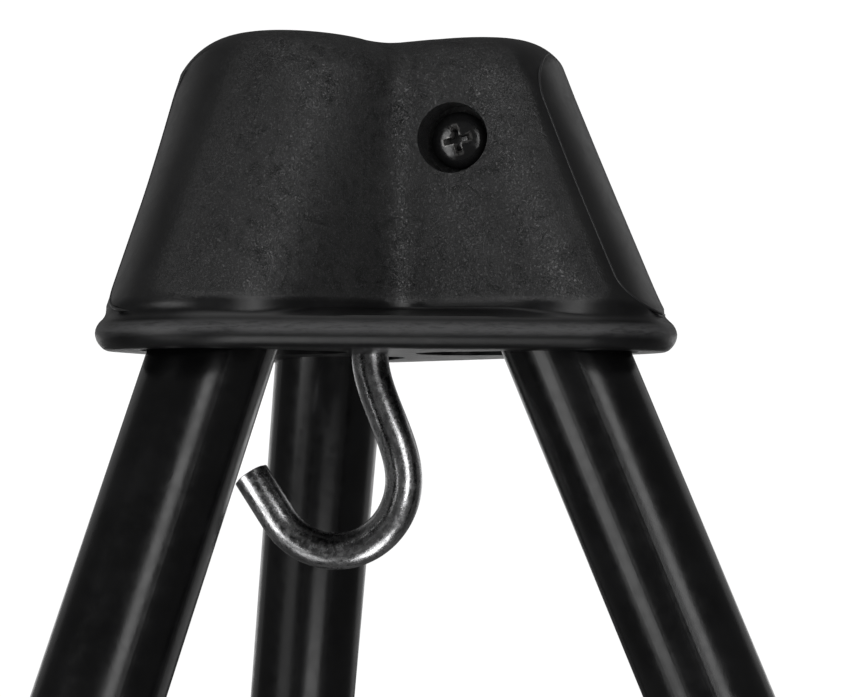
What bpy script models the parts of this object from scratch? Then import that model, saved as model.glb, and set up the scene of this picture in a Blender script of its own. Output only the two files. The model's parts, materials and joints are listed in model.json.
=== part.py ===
"""A folding tripod stand: a moulded head, three telescopic steel legs and a wire hook.

Units are metres, +Z is up and the ground is z = 0. The legs lean outwards at
azimuths 0, 120 and 240 degrees about the tripod's own vertical axis. The model's
origin is the middle of the footprint's box, so that axis stands at x = AXIS_X.
"""

import math

import bmesh
import bpy
from mathutils import Matrix, Vector

MM = 0.001
GAP = 0.3 * MM  # clearance between pieces that touch on the real object
REACH = 40 * MM  # how far a cutter reaches from a leg's axis to pass right through

# The stand as a whole
STAND_HEIGHT = 1830 * MM
LEG_TILT = math.radians(22.66)  # from the vertical
LEG_AZIMUTHS = {"a": 0, "b": 120, "c": 240}  # degrees

# Depths below the apex, the point where the three leg axes meet above the head
TOP_DEPTH = 38 * MM
PIVOT_DEPTH = 61 * MM
SHELF_DEPTH = 96 * MM
BASE_DEPTH = 104.6 * MM
APEX_HEIGHT = STAND_HEIGHT + TOP_DEPTH
PIVOT_RADIUS = PIVOT_DEPTH * math.tan(LEG_TILT)
LEG_REACH = (APEX_HEIGHT - PIVOT_DEPTH) / math.cos(LEG_TILT)  # pivot to sole
FOOT_CIRCLE = APEX_HEIGHT * math.tan(LEG_TILT)

# Head
LOBE_RADIUS = 24.7 * MM  # half the lobe's width, and its round end about the leg's axis
PANEL_HALF = math.radians(36)  # from the middle of the panel on the lobe's end to its crisp edge
PANEL_FAR = math.radians(60)  # and to where it has faded out on the other side
PANEL_DIP = 0.6 * MM  # how far the panel is flattened at its middle
PANEL_TOP = 43 * MM
PANEL_FULL = 50 * MM
PANEL_FADE = 89 * MM
PANEL_BOTTOM = 97 * MM
SWELL = 1.25 * MM  # how far the panel's crisp edge stands out near the top
FAR_SWELL = 0.7 * MM  # and its other side
SWELL_PEAK = 45.5 * MM
SWELL_END = 74 * MM
SWELL_OUTER = math.radians(68)  # where it has blended into the lobe's sides
SHOULDER_RADIUS = 11 * MM
VALLEY_RADIUS = 8 * MM
VALLEY_SHARE = 0.92  # of the room between two lobes that a valley's fillet may fill
VALLEY_DISH = 1.5 * MM  # how far the crown sinks towards each valley
LIP_CENTRE = 40.5 * MM
LIP_RADIUS = 26.5 * MM
LIP_PROFILE = [  # how far each outline stands out from the lip's widest, and its depth
    (-1.2 * MM, 98.2 * MM),
    (-0.4 * MM, 98.9 * MM),
    (0, 100.1 * MM),
    (-0.1 * MM, 101.8 * MM),
    (-0.8 * MM, 103.4 * MM),
    (-2.2 * MM, BASE_DEPTH),
]
WALL_DEPTHS = (50 * MM, 57 * MM, 65 * MM, 74 * MM, PANEL_FADE, SHELF_DEPTH)
END_POINTS = 10  # points on each half of a lobe's round end
VALLEY_POINTS = 4
SHOULDER_STEPS = 6
SLOT_RADIUS = 13 * MM
SLOT_HEAD_ROOM = 10.8 * MM  # above the pivot, along the leg
COUNTERBORE_RADIUS = 7.3 * MM
COUNTERBORE_FLOOR = 17.5 * MM  # from the leg's plane
SCREW_BORE_RADIUS = 3.05 * MM
SCREW_BORE_END = 21.9 * MM
HOOK_BORE_RADIUS = 4.3 * MM
HOOK_BORE_TOP = 74 * MM  # depth below the apex
NUT_POCKET_TOP = 78 * MM
NUT_POCKET_FLOOR = 85.2 * MM
NUT_POCKET_HALF = 6.85 * MM

# Pivot hardware
SCREW_HEAD_RADIUS = 5.9 * MM
SCREW_HEAD_HEIGHT = 3.2 * MM
SCREW_RADIUS = 2.75 * MM
SCREW_END = 21.5 * MM
SLEEVE_RADIUS = 4 * MM
SLEEVE_HALF = 12.8 * MM
CROSS_HOLE_RADIUS = 4.3 * MM
RECESS_DEPTH = 1.9 * MM

# Legs
UPPER_RADIUS = 12.7 * MM
UPPER_BORE = 11.5 * MM
UPPER_ABOVE_PIVOT = 8.6 * MM
UPPER_LENGTH = 1050 * MM
LOWER_RADIUS = 10 * MM
LOWER_BORE = 8.8 * MM
LOWER_LENGTH = 1050 * MM
LOWER_ABOVE_SOLE = 14 * MM
PLUG_DEPTH = 15 * MM
PLUG_RIM_RADIUS = 12.4 * MM
PLUG_RIM = 1.5 * MM  # its thickness
GLIDE_RADIUS = 11.2 * MM
GLIDE_BORE = 5 * MM
GLIDE_ABOVE = 12 * MM
GLIDE_BELOW = 14 * MM
MOULDED_CHAMFER = 1 * MM

# Clamp at the foot of each upper tube
COLLAR_RADIUS = 16.5 * MM
COLLAR_ABOVE = 26 * MM
COLLAR_BELOW = 24 * MM
COLLAR_END_RADIUS = 14.6 * MM
COLLAR_TAPER = 3 * MM  # the length of each tapered end
BOSS_BELOW = 12 * MM  # the clamp screw's axis, below the upper tube's end
BOSS_RADIUS = 9 * MM
BOSS_ROOT = 13.3 * MM
BOSS_FACE = 25.5 * MM  # from the leg's axis
COLLAR_SCREW_ABOVE = 13 * MM
COLLAR_SCREW_HEAD_RADIUS = 3.8 * MM
COLLAR_SCREW_HEAD_HEIGHT = 2 * MM
COLLAR_SCREW_RADIUS = 2 * MM
COLLAR_SCREW_LENGTH = 5 * MM
COLLAR_SCREW_BORE = 2.4 * MM
STUD_RADIUS = 3 * MM
STUD_BORE = 3.4 * MM
STUD_START = 10.4 * MM  # against the lower tube
STUD_END = 38 * MM
NUT_FACE = 17.9 * MM
NUT_THICKNESS = 5 * MM
NUT_HALF = 5 * MM
KNOB_BACK = 26.5 * MM
KNOB_NECK = 5 * MM
KNOB_NECK_RADIUS = 7 * MM
KNOB_THICKNESS = 11 * MM
KNOB_RADIUS = 14 * MM
KNOB_LOBE = 1.6 * MM
KNOB_LOBES = 6
KNOB_CHAMFER = 0.6 * MM

# Foot
FOOT_RIM_RADIUS = 12.8 * MM
FOOT_TREAD_RADIUS = 18.5 * MM
FOOT_HEIGHT = 44 * MM
FOOT_CHAMFER = 0.8 * MM
FOOT_BEAD = 4 * MM  # the thicker band round its mouth
FOOT_WAIST = 24 * MM
FOOT_FLARE = 17 * MM
FOOT_TREAD_TOP = 10 * MM

# Hook: a bent wire in the plane of leg a
WIRE_RADIUS = 4 * MM
HOOK_CENTRE_X = -8 * MM
HOOK_CENTRE_BELOW = 27 * MM
HOOK_RADIUS = 15.6 * MM
HOOK_SWEEP = math.radians(146)
HOOK_TIP_LENGTH = 11.6 * MM
HOOK_HANDLE = 8.7 * MM  # Bezier handle of the bend in the shank
HOOK_TOP_DEPTH = 75 * MM
HOOK_NUT_HALF = 6.5 * MM
HOOK_NUT_HEIGHT = 6.5 * MM

# The footprint's box is centred on the origin
FOOT_ALONG = FOOT_TREAD_RADIUS / math.cos(LEG_TILT)  # half the sole, along its leg
FOOT_LEAN = math.hypot(FOOT_ALONG / 2, FOOT_TREAD_RADIUS * math.sin(math.radians(60)))
AXIS_X = -(FOOT_CIRCLE / 2 + FOOT_ALONG - FOOT_LEAN) / 2

PLASTIC = ("head_plastic", (0.018, 0.018, 0.019), 0.48, 0.0)
PAINT = ("tube_paint", (0.012, 0.012, 0.013), 0.28, 0.3)
BLACK_STEEL = ("black_steel", (0.03, 0.03, 0.032), 0.3, 0.8)
ZINC = ("zinc_steel", (0.55, 0.55, 0.56), 0.36, 1.0)
NYLON = ("nylon", (0.03, 0.03, 0.03), 0.5, 0.0)
RUBBER = ("rubber", (0.02, 0.02, 0.02), 0.75, 0.0)


# ---------------------------------------------------------------- helpers

def clear_scene():
    for obj in list(bpy.data.objects):
        bpy.data.objects.remove(obj, do_unlink=True)


def new_collection(name):
    found = bpy.data.collections.new(name)
    bpy.context.scene.collection.children.link(found)
    return found


def material(finish):
    name, colour, roughness, metallic = finish
    found = bpy.data.materials.get(name)
    if found is None:
        found = bpy.data.materials.new(name)
        found.use_nodes = True
        shader = found.node_tree.nodes["Principled BSDF"]
        shader.inputs["Base Color"].default_value = (*colour, 1)
        shader.inputs["Roughness"].default_value = roughness
        shader.inputs["Metallic"].default_value = metallic
    return found


def mesh_of(bm, name):
    mesh = bpy.data.meshes.new(name)
    bm.to_mesh(mesh)
    bm.free()
    return mesh


def loose_object(name, data):
    """An object in the cutters' collection: a cutter, or a shape still being made."""
    obj = bpy.data.objects.new(name, data)
    CUTTERS.objects.link(obj)
    obj.hide_render = True
    obj.display_type = "WIRE"
    return obj


def finished(obj):
    """The object's mesh in its own space with its modifiers applied. The object is removed."""
    bpy.context.view_layer.update()
    evaluated = obj.evaluated_get(bpy.context.evaluated_depsgraph_get())
    mesh = bpy.data.meshes.new_from_object(evaluated)
    bm = bmesh.new()
    bm.from_mesh(mesh)
    bmesh.ops.remove_doubles(bm, verts=bm.verts, dist=0.001 * MM)
    bm.to_mesh(mesh)
    bm.free()
    mesh.materials.clear()
    bpy.data.objects.remove(obj, do_unlink=True)
    return mesh


def boolean(obj, cutter, operation="DIFFERENCE"):
    modifier = obj.modifiers.new(cutter.name, "BOOLEAN")
    modifier.operation = operation
    modifier.solver = "EXACT"
    modifier.object = cutter


def shaped(obj, cuts=(), joins=()):
    """The mesh of an object with other shapes joined to it, and then others cut from it."""
    for other in joins:
        boolean(obj, other, "UNION")
    for other in cuts:
        boolean(obj, other)
    mesh = finished(obj)
    for other in (*joins, *cuts):
        bpy.data.objects.remove(other, do_unlink=True)
    return mesh


def turned(name, profile, segments, closed=False):
    """A profile of (radius, height) points, turned about Z. It runs down its outer side."""
    mesh = bpy.data.meshes.new(name)
    edges = [(i, i + 1) for i in range(len(profile) - 1)]
    if closed:
        edges.append((len(profile) - 1, 0))
    mesh.from_pydata([(r, 0, z) for r, z in profile], edges, [])
    obj = loose_object(name, mesh)
    screw = obj.modifiers.new("turn", "SCREW")
    screw.axis = "Z"
    screw.steps = segments
    screw.render_steps = segments
    screw.use_merge_vertices = True
    screw.merge_threshold = 0.00001
    return obj


def rod(name, radius, start, end, segments=24, sides=None):
    """A cylinder between two points; with sides, a prism of that many sides."""
    start, end = Vector(start), Vector(end)
    bm = bmesh.new()
    bmesh.ops.create_cone(
        bm, cap_ends=True, segments=sides or segments,
        radius1=radius, radius2=radius, depth=(end - start).length,
    )
    turn = (end - start).to_track_quat("Z", "Y").to_matrix().to_4x4()
    bm.transform(Matrix.Translation((start + end) / 2) @ turn)
    return loose_object(name, mesh_of(bm, name))


def block(name, low, high):
    low, high = Vector(low), Vector(high)
    bm = bmesh.new()
    bmesh.ops.create_cube(bm, size=1)
    bm.transform(Matrix.Translation((low + high) / 2) @ Matrix.Diagonal((*(high - low), 1)))
    return loose_object(name, mesh_of(bm, name))


def place(name, mesh, finish, parent, location=(0, 0, 0), rotation=(0, 0, 0)):
    """One sub-part of the stand, hung from its parent."""
    obj = bpy.data.objects.new(name, mesh)
    STAND.objects.link(obj)
    obj.parent = parent
    obj.location = location
    obj.rotation_euler = rotation
    if not mesh.materials:
        mesh.materials.append(material(finish))
    mesh.shade_smooth()
    mesh.set_sharp_from_angle(angle=math.radians(35))
    return obj


def pivot_empty(name, parent=None, location=(0, 0, 0), rotation=(0, 0, 0)):
    empty = bpy.data.objects.new(name, None)
    STAND.objects.link(empty)
    empty.parent = parent
    empty.location = location
    empty.rotation_euler = rotation
    return empty


# ---------------------------------------------------------------- head

def swell(turn, depth):
    """How far the lobe's end stands out from its round form, at an angle about the leg's axis."""
    if depth < SWELL_PEAK:
        height = (depth - TOP_DEPTH) / (SWELL_PEAK - TOP_DEPTH)
    else:
        height = max(0, (SWELL_END - depth) / (SWELL_END - SWELL_PEAK)) ** 1.5
    if turn > 0:
        wave = math.cos(2 * math.pi * min(1, turn / SWELL_OUTER))
        return FAR_SWELL * height * (1 - wave) / 2
    if turn > -PANEL_HALF:
        return SWELL * height * (turn / PANEL_HALF) ** 2
    blend = min(1, (turn + PANEL_HALF) / (PANEL_HALF - SWELL_OUTER))
    return SWELL * height * (1 + math.cos(math.pi * blend)) / 2


def panel_dip(turn, depth):
    """How far the end panel lies below the lobe's round end: crisp at one side, fading at the other."""
    outside = turn <= -PANEL_HALF or turn >= PANEL_FAR
    if outside or not PANEL_TOP < depth < PANEL_BOTTOM:
        return 0.0
    if turn < 0:
        across = 1 - (turn / PANEL_HALF) ** 2
    else:
        across = (1 + math.cos(math.pi * turn / PANEL_FAR)) / 2
    growing = (depth - PANEL_TOP) / (PANEL_FULL - PANEL_TOP)
    fading = (PANEL_BOTTOM - depth) / (PANEL_BOTTOM - PANEL_FADE)
    return PANEL_DIP * across * min(1, growing, fading)


def lobe(depth, inset):
    """One lobe's outline at a depth, from the valley before it to just short of the next.

    inset tells how far the walls are drawn in, from their angle about the leg's axis.
    The lobe points along +X.
    """
    rho = depth * math.tan(LEG_TILT)
    sixty = math.radians(60)
    drawn_in = inset(sixty * 1.5)
    wide = LOBE_RADIUS - drawn_in
    corner = wide / math.tan(sixty)
    fillet = min(VALLEY_RADIUS + drawn_in, VALLEY_SHARE * (rho - corner) * math.tan(sixty))
    tangent = corner + fillet / math.tan(sixty)
    valley = [((rho + tangent) / 2, wide)]
    for i in range(VALLEY_POINTS):
        turn = math.radians(270) - math.radians(30) * i / (VALLEY_POINTS - 1)
        valley.append((tangent + fillet * math.cos(turn), wide + fillet * (1 + math.sin(turn))))
    points = [(x, -y) for x, y in reversed(valley)]
    for i in range(-END_POINTS, END_POINTS + 1):
        turn = math.radians(90) * i / END_POINTS
        radius = LOBE_RADIUS - inset(turn) + swell(turn, depth) - panel_dip(turn, depth)
        points.append((rho + radius * math.cos(turn), radius * math.sin(turn)))
    return points + valley[:-1]


def whole_outline(outline):
    """The three-lobed outline, anticlockwise, from one lobe's."""
    points = []
    for azimuth in LEG_AZIMUTHS.values():
        turn = Matrix.Rotation(math.radians(azimuth), 2)
        points += [turn @ Vector(p) for p in outline]
    return points


def lip_point(point, grow):
    """The point of the rounded-triangle lip in the same direction as a point of the body."""
    reach, radius = LIP_CENTRE, LIP_RADIUS + grow
    azimuth = math.atan2(point.y, point.x)
    third = math.radians(120)
    off = abs((azimuth + third / 2) % third - third / 2)
    side = reach / 2 + radius
    tangent = math.atan2(radius * math.sin(third / 2), reach + radius / 2)
    if off < tangent:
        distance = reach * math.cos(off) + math.sqrt(radius**2 - (reach * math.sin(off))**2)
    else:
        distance = side / math.cos(third / 2 - off)
    return Vector((distance * math.cos(azimuth), distance * math.sin(azimuth)))


def valley_share(point):
    """0 at the middle of a lobe and 1 at a valley, from the point's direction."""
    return (1 - math.cos(3 * math.atan2(point.y, point.x))) / 2


def shoulder_ring(share):
    """One outline round the shoulder, from its top (0) to where it meets the wall (1)."""
    def sweep(turn):
        lean = math.atan(math.tan(LEG_TILT) * math.cos(turn))
        return lean, share * (math.radians(90) - lean)

    def drawn_in(turn):
        lean, angle = sweep(turn)
        return SHOULDER_RADIUS * (math.tan(math.radians(45) - lean / 2) - math.sin(angle))

    ring = []
    outline = lobe(TOP_DEPTH, drawn_in)
    first = (len(outline) - 2 * END_POINTS) // 2
    for i, point in enumerate(outline):
        turn = math.radians(90) * max(-1, min(1, (i - first - END_POINTS) / END_POINTS))
        angle = sweep(turn)[1]
        depth = TOP_DEPTH + SHOULDER_RADIUS * (1 - math.cos(angle))
        stand_out = swell(turn, depth) - panel_dip(turn, depth)
        x = point[0] + stand_out * math.cos(turn)
        y = point[1] + stand_out * math.sin(turn)
        dish = VALLEY_DISH * math.cos(angle) * valley_share(Vector((x, y)))
        ring.append((x, y, depth + dish))
    return ring


def turned_three_ways(ring):
    """A lobe's (x, y, depth) points repeated for every leg."""
    depths = [depth for *_, depth in ring] * len(LEG_AZIMUTHS)
    outline = whole_outline([(x, y) for x, y, _ in ring])
    return [(*p, depth) for p, depth in zip(outline, depths)]


def valley_share(point):
    """0 at the middle of a lobe and 1 at a valley, from the point's direction."""
    return (1 - math.cos(3 * math.atan2(point.y, point.x))) / 2


def head_rings():
    """The head's outlines from top to bottom, as points of (x, y, depth)."""
    crown = turned_three_ways(shoulder_ring(0))
    rings = [[(x / 2, y / 2, TOP_DEPTH) for x, y, _ in crown]]
    for i in range(SHOULDER_STEPS + 1):
        rings.append(turned_three_ways(shoulder_ring(i / SHOULDER_STEPS)))
    for depth in WALL_DEPTHS:
        body = whole_outline(lobe(depth, lambda turn: 0))
        rings.append([(*p, depth) for p in body])
    for grow, depth in LIP_PROFILE:
        rings.append([(*lip_point(p, grow), depth) for p in body])
    return rings


def head_body():
    """The outer form, lofted down its rings, solid from the top face to the base."""
    bm = bmesh.new()
    loops = [
        [bm.verts.new((x, y, APEX_HEIGHT - depth)) for x, y, depth in ring]
        for ring in head_rings()
    ]
    for upper, lower in zip(loops, loops[1:]):
        for i in range(len(upper)):
            j = (i + 1) % len(upper)
            bm.faces.new((upper[i], lower[i], lower[j], upper[j]))
    bm.faces.new(loops[0])
    bm.faces.new(reversed(loops[-1]))
    bmesh.ops.recalc_face_normals(bm, faces=bm.faces)
    return loose_object("head_shell", mesh_of(bm, "head_shell"))


def slot_cutter(azimuth):
    """The room a leg sweeps inside the head between standing and folded."""
    bm = bmesh.new()
    low = 2 * (PIVOT_DEPTH - BASE_DEPTH)
    for tilt in (-LEG_TILT, 0):
        turn = Matrix.Rotation(tilt, 3, "Y")
        for height in (SLOT_HEAD_ROOM, low):
            for i in range(32):
                at = math.radians(360 * i / 32)
                rim = Vector((SLOT_RADIUS * math.cos(at), SLOT_RADIUS * math.sin(at), height))
                bm.verts.new(turn @ rim)
    hull = bmesh.ops.convex_hull(bm, input=bm.verts)
    inside = [item for item in hull["geom_interior"] if isinstance(item, bmesh.types.BMVert)]
    bmesh.ops.delete(bm, geom=inside, context="VERTS")
    bmesh.ops.dissolve_limit(bm, angle_limit=0.001, verts=bm.verts, edges=bm.edges)
    bmesh.ops.recalc_face_normals(bm, faces=bm.faces)
    cutter = loose_object("slot", mesh_of(bm, "slot"))
    cutter.matrix_world = pivot_frame(azimuth, 0)
    return cutter


def pivot_frame(azimuth, tilt):
    """From a leg's own frame at its pivot to the head's frame."""
    out = Matrix.Translation((PIVOT_RADIUS, 0, APEX_HEIGHT - PIVOT_DEPTH))
    return Matrix.Rotation(math.radians(azimuth), 4, "Z") @ out @ Matrix.Rotation(tilt, 4, "Y")


def head_mesh():
    body = head_body()
    cuts = []
    for azimuth in LEG_AZIMUTHS.values():
        frame = pivot_frame(azimuth, 0)
        outside = 2 * LOBE_RADIUS
        counterbore = rod(
            "counterbore", COUNTERBORE_RADIUS, (0, -COUNTERBORE_FLOOR, 0), (0, -outside, 0), 40
        )
        bore = rod("screw_bore", SCREW_BORE_RADIUS, (0, SCREW_BORE_END, 0), (0, -outside, 0), 24)
        counterbore.matrix_world = frame
        bore.matrix_world = frame
        cuts += [slot_cutter(azimuth), counterbore, bore]
    hook_bore = rod(
        "hook_bore", HOOK_BORE_RADIUS,
        (0, 0, APEX_HEIGHT - HOOK_BORE_TOP), (0, 0, APEX_HEIGHT - 1.1 * BASE_DEPTH), 32,
    )
    nut_pocket = block(
        "nut_pocket",
        (-1.1 * NUT_POCKET_HALF, -NUT_POCKET_HALF, APEX_HEIGHT - NUT_POCKET_FLOOR),
        (PIVOT_RADIUS, NUT_POCKET_HALF, APEX_HEIGHT - NUT_POCKET_TOP),
    )
    return shaped(body, [*cuts, hook_bore, nut_pocket])


def hook_route():
    """The wire's centreline from its threaded top to its tip, in the plane of leg a."""
    base = APEX_HEIGHT - BASE_DEPTH
    start = Vector((0, 0, base))
    end = Vector((HOOK_CENTRE_X + HOOK_RADIUS, 0, base - HOOK_CENTRE_BELOW))
    down = Vector((0, 0, -HOOK_HANDLE))
    points = [Vector((0, 0, APEX_HEIGHT - HOOK_TOP_DEPTH))]
    for i in range(9):
        t = i / 9
        points.append(
            start * (1 - t)**3 + (start + down) * 3 * t * (1 - t)**2
            + (end - down) * 3 * t**2 * (1 - t) + end * t**3
        )
    for i in range(17):
        turn = HOOK_SWEEP * i / 16
        points.append(end + HOOK_RADIUS * Vector((math.cos(turn) - 1, 0, -math.sin(turn))))
    along = Vector((-math.sin(HOOK_SWEEP), 0, -math.cos(HOOK_SWEEP)))
    points.append(points[-1] + along * HOOK_TIP_LENGTH)
    return points


def hook_mesh():
    curve = bpy.data.curves.new("hook", "CURVE")
    curve.dimensions = "3D"
    curve.bevel_depth = WIRE_RADIUS
    curve.bevel_resolution = 4
    curve.use_fill_caps = True
    route = hook_route()
    spline = curve.splines.new("POLY")
    spline.points.add(len(route) - 1)
    for point, place_at in zip(spline.points, route):
        point.co = (*place_at, 1)
    return finished(loose_object("hook", curve))


def hex_nut(name, half, height, bore):
    """A hexagon nut about Z with two of its flats facing +Y and -Y, resting on z = 0."""
    corner = half / math.cos(math.radians(30))
    prism = rod(name, corner, (0, 0, 0), (0, 0, height), sides=6)
    turn = max(prism.data.vertices, key=lambda v: v.co.x).co
    prism.data.transform(Matrix.Rotation(-math.atan2(turn.y, turn.x), 4, "Z"))
    hole = rod("hole", bore, (0, 0, -height), (0, 0, 2 * height), 18)
    return shaped(prism, [hole])


# ---------------------------------------------------------------- leg pieces, in the pivot's frame

def tube_mesh(name, radius, bore, top, bottom, holes):
    profile = [(radius, top), (radius, bottom), (bore, bottom), (bore, top)]
    return shaped(turned(name, profile, 32, closed=True), holes)


def upper_tube_mesh():
    end = UPPER_ABOVE_PIVOT - UPPER_LENGTH
    screw_at = end + COLLAR_SCREW_ABOVE
    holes = [
        rod("cross_hole", CROSS_HOLE_RADIUS, (0, -REACH, 0), (0, REACH, 0), 24),
        rod("collar_hole", COLLAR_SCREW_BORE, (LOWER_BORE, 0, screw_at), (REACH, 0, screw_at), 16),
    ]
    return tube_mesh("upper_tube", UPPER_RADIUS, UPPER_BORE, UPPER_ABOVE_PIVOT, end, holes)


def lower_tube_mesh():
    bottom = LOWER_ABOVE_SOLE - LEG_REACH
    return tube_mesh(
        "lower_tube", LOWER_RADIUS, LOWER_BORE, bottom + LOWER_LENGTH, bottom, []
    )


def plug_mesh():
    """The moulded plug in a leg's top, with a rim over the tube's end."""
    inner = UPPER_BORE - GAP
    top = UPPER_ABOVE_PIVOT + GAP
    profile = [
        (0, top + PLUG_RIM), (PLUG_RIM_RADIUS - GAP, top + PLUG_RIM),
        (PLUG_RIM_RADIUS, top + PLUG_RIM - GAP), (PLUG_RIM_RADIUS, top), (inner, top),
        (inner, MOULDED_CHAMFER - PLUG_DEPTH), (inner - MOULDED_CHAMFER, -PLUG_DEPTH),
        (0, -PLUG_DEPTH),
    ]
    hole = rod("cross_hole", CROSS_HOLE_RADIUS, (0, -REACH, 0), (0, REACH, 0), 16)
    return shaped(turned("leg_plug", profile, 24), [hole])


def sleeve_mesh():
    profile = [
        (SLEEVE_RADIUS, SLEEVE_HALF), (SLEEVE_RADIUS, -SLEEVE_HALF),
        (SCREW_BORE_RADIUS, -SLEEVE_HALF), (SCREW_BORE_RADIUS, SLEEVE_HALF),
    ]
    return shaped(turned("pivot_sleeve", profile, 20, closed=True))


def pan_screw_mesh(name, head_radius, head_height, radius, length, recess):
    """A pan-head screw about Z: its head stands on z = 0 and its shank hangs below."""
    profile = [(0, head_height)]
    for i in range(1, 4):
        turn = math.radians(30 * i)
        profile.append((head_radius * math.sin(turn), head_height * (0.35 + 0.65 * math.cos(turn))))
    profile += [
        (head_radius, 0), (radius, 0), (radius, radius * 0.6 - length),
        (radius * 0.35, -length), (0, -length),
    ]
    if not recess:
        return shaped(turned(name, profile, 16))
    arm, width = head_radius * 0.55, head_radius * 0.12
    bars = [
        block("bar", (-arm, -width, head_height - recess), (arm, width, 2 * head_height)),
        block("bar", (-width, -arm, head_height - recess), (width, arm, 2 * head_height)),
    ]
    return shaped(turned(name, profile, 20), bars)


def collar_mesh():
    """The clamp collar, with its boss on the leg's outer side. z = 0 is the upper tube's end."""
    profile = [
        (COLLAR_END_RADIUS, COLLAR_ABOVE), (COLLAR_RADIUS, COLLAR_ABOVE - COLLAR_TAPER),
        (COLLAR_RADIUS, COLLAR_TAPER - COLLAR_BELOW), (COLLAR_END_RADIUS, -COLLAR_BELOW),
        (LOWER_RADIUS + GAP, -COLLAR_BELOW), (LOWER_RADIUS + GAP, -GAP),
        (UPPER_RADIUS + GAP, -GAP), (UPPER_RADIUS + GAP, COLLAR_ABOVE),
    ]
    boss = rod(
        "boss", BOSS_RADIUS, (BOSS_ROOT, 0, -BOSS_BELOW), (BOSS_FACE, 0, -BOSS_BELOW), 20
    )
    nut_top = NUT_HALF / math.cos(math.radians(30)) + GAP
    pocket = block(
        "pocket",
        (NUT_FACE - GAP, -NUT_HALF - GAP, -BOSS_BELOW - 2 * BOSS_RADIUS),
        (NUT_FACE + NUT_THICKNESS + GAP, NUT_HALF + GAP, -BOSS_BELOW + nut_top),
    )
    stud_bore = rod(
        "stud_bore", STUD_BORE, (LOWER_BORE, 0, -BOSS_BELOW), (REACH, 0, -BOSS_BELOW), 16
    )
    screw_bore = rod(
        "screw_bore", COLLAR_SCREW_BORE,
        (LOWER_BORE, 0, COLLAR_SCREW_ABOVE), (REACH, 0, COLLAR_SCREW_ABOVE), 16,
    )
    return shaped(
        turned("clamp_collar", profile, 24, closed=True), [stud_bore, pocket, screw_bore], [boss]
    )


def knob_mesh():
    """The lobed clamp knob about Z, which points outwards from the leg. z = 0 is its back."""
    curve = bpy.data.curves.new("clamp_knob", "CURVE")
    curve.dimensions = "2D"
    curve.fill_mode = "BOTH"
    curve.extrude = KNOB_THICKNESS / 2 - KNOB_CHAMFER
    curve.bevel_depth = KNOB_CHAMFER
    curve.bevel_resolution = 0
    steps = 5 * KNOB_LOBES
    spline = curve.splines.new("POLY")
    spline.points.add(steps - 1)
    for i, point in enumerate(spline.points):
        turn = 2 * math.pi * i / steps
        radius = KNOB_RADIUS - KNOB_LOBE * (1 - math.cos(KNOB_LOBES * turn))
        point.co = (radius * math.cos(turn), radius * math.sin(turn), 0, 1)
    spline.use_cyclic_u = True
    grip = finished(loose_object("clamp_knob", curve))
    grip.transform(Matrix.Translation((0, 0, KNOB_NECK + KNOB_THICKNESS / 2)))
    neck = rod("neck", KNOB_NECK_RADIUS, (0, 0, 0), (0, 0, 1.4 * KNOB_NECK), 20)
    hole_end = STUD_END - KNOB_BACK + 2 * GAP
    hole = rod("hole", STUD_RADIUS + GAP, (0, 0, -KNOB_NECK), (0, 0, hole_end), 16)
    return shaped(loose_object("clamp_knob", grip), [hole], [neck])


def glide_mesh():
    """The bush in the lower tube's top, which runs in the upper tube. z = 0 is the tube's end."""
    stem = LOWER_BORE - GAP
    profile = [
        (GLIDE_RADIUS - MOULDED_CHAMFER, GLIDE_ABOVE),
        (GLIDE_RADIUS, GLIDE_ABOVE - MOULDED_CHAMFER), (GLIDE_RADIUS, MOULDED_CHAMFER + GAP),
        (GLIDE_RADIUS - MOULDED_CHAMFER, GAP), (stem, GAP), (stem, -GLIDE_BELOW),
        (GLIDE_BORE, -GLIDE_BELOW), (GLIDE_BORE, GLIDE_ABOVE),
    ]
    return shaped(turned("glide_bush", profile, 20, closed=True))


def foot_mesh():
    """The rubber foot about its leg's axis, its sole cut level with the ground. z = 0 is the sole."""
    bore = LOWER_RADIUS + GAP
    profile = [
        (FOOT_RIM_RADIUS - FOOT_CHAMFER, FOOT_HEIGHT), (FOOT_RIM_RADIUS, FOOT_HEIGHT - FOOT_CHAMFER),
        (FOOT_RIM_RADIUS, FOOT_HEIGHT - FOOT_BEAD),
        (FOOT_RIM_RADIUS - FOOT_CHAMFER, FOOT_HEIGHT - FOOT_BEAD - FOOT_CHAMFER),
        (FOOT_RIM_RADIUS + FOOT_CHAMFER / 2, FOOT_WAIST), (FOOT_RIM_RADIUS + 2 * MM, FOOT_FLARE),
        (FOOT_TREAD_RADIUS - 1.2 * MM, FOOT_TREAD_TOP + 1.5 * MM),
        (FOOT_TREAD_RADIUS, FOOT_TREAD_TOP), (FOOT_TREAD_RADIUS, -FOOT_TREAD_RADIUS),
        (0, -FOOT_TREAD_RADIUS),
    ]
    solid = turned("foot", [(0, FOOT_HEIGHT)] + profile, 24)
    hole = rod("bore", bore, (0, 0, LOWER_ABOVE_SOLE - GAP), (0, 0, 2 * FOOT_HEIGHT), 24)
    ground = block("ground", (-REACH, -REACH, -REACH), (REACH, REACH, 0))
    ground.rotation_euler = (0, LEG_TILT, 0)
    return shaped(solid, [hole, ground])


# ---------------------------------------------------------------- assembly

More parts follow.
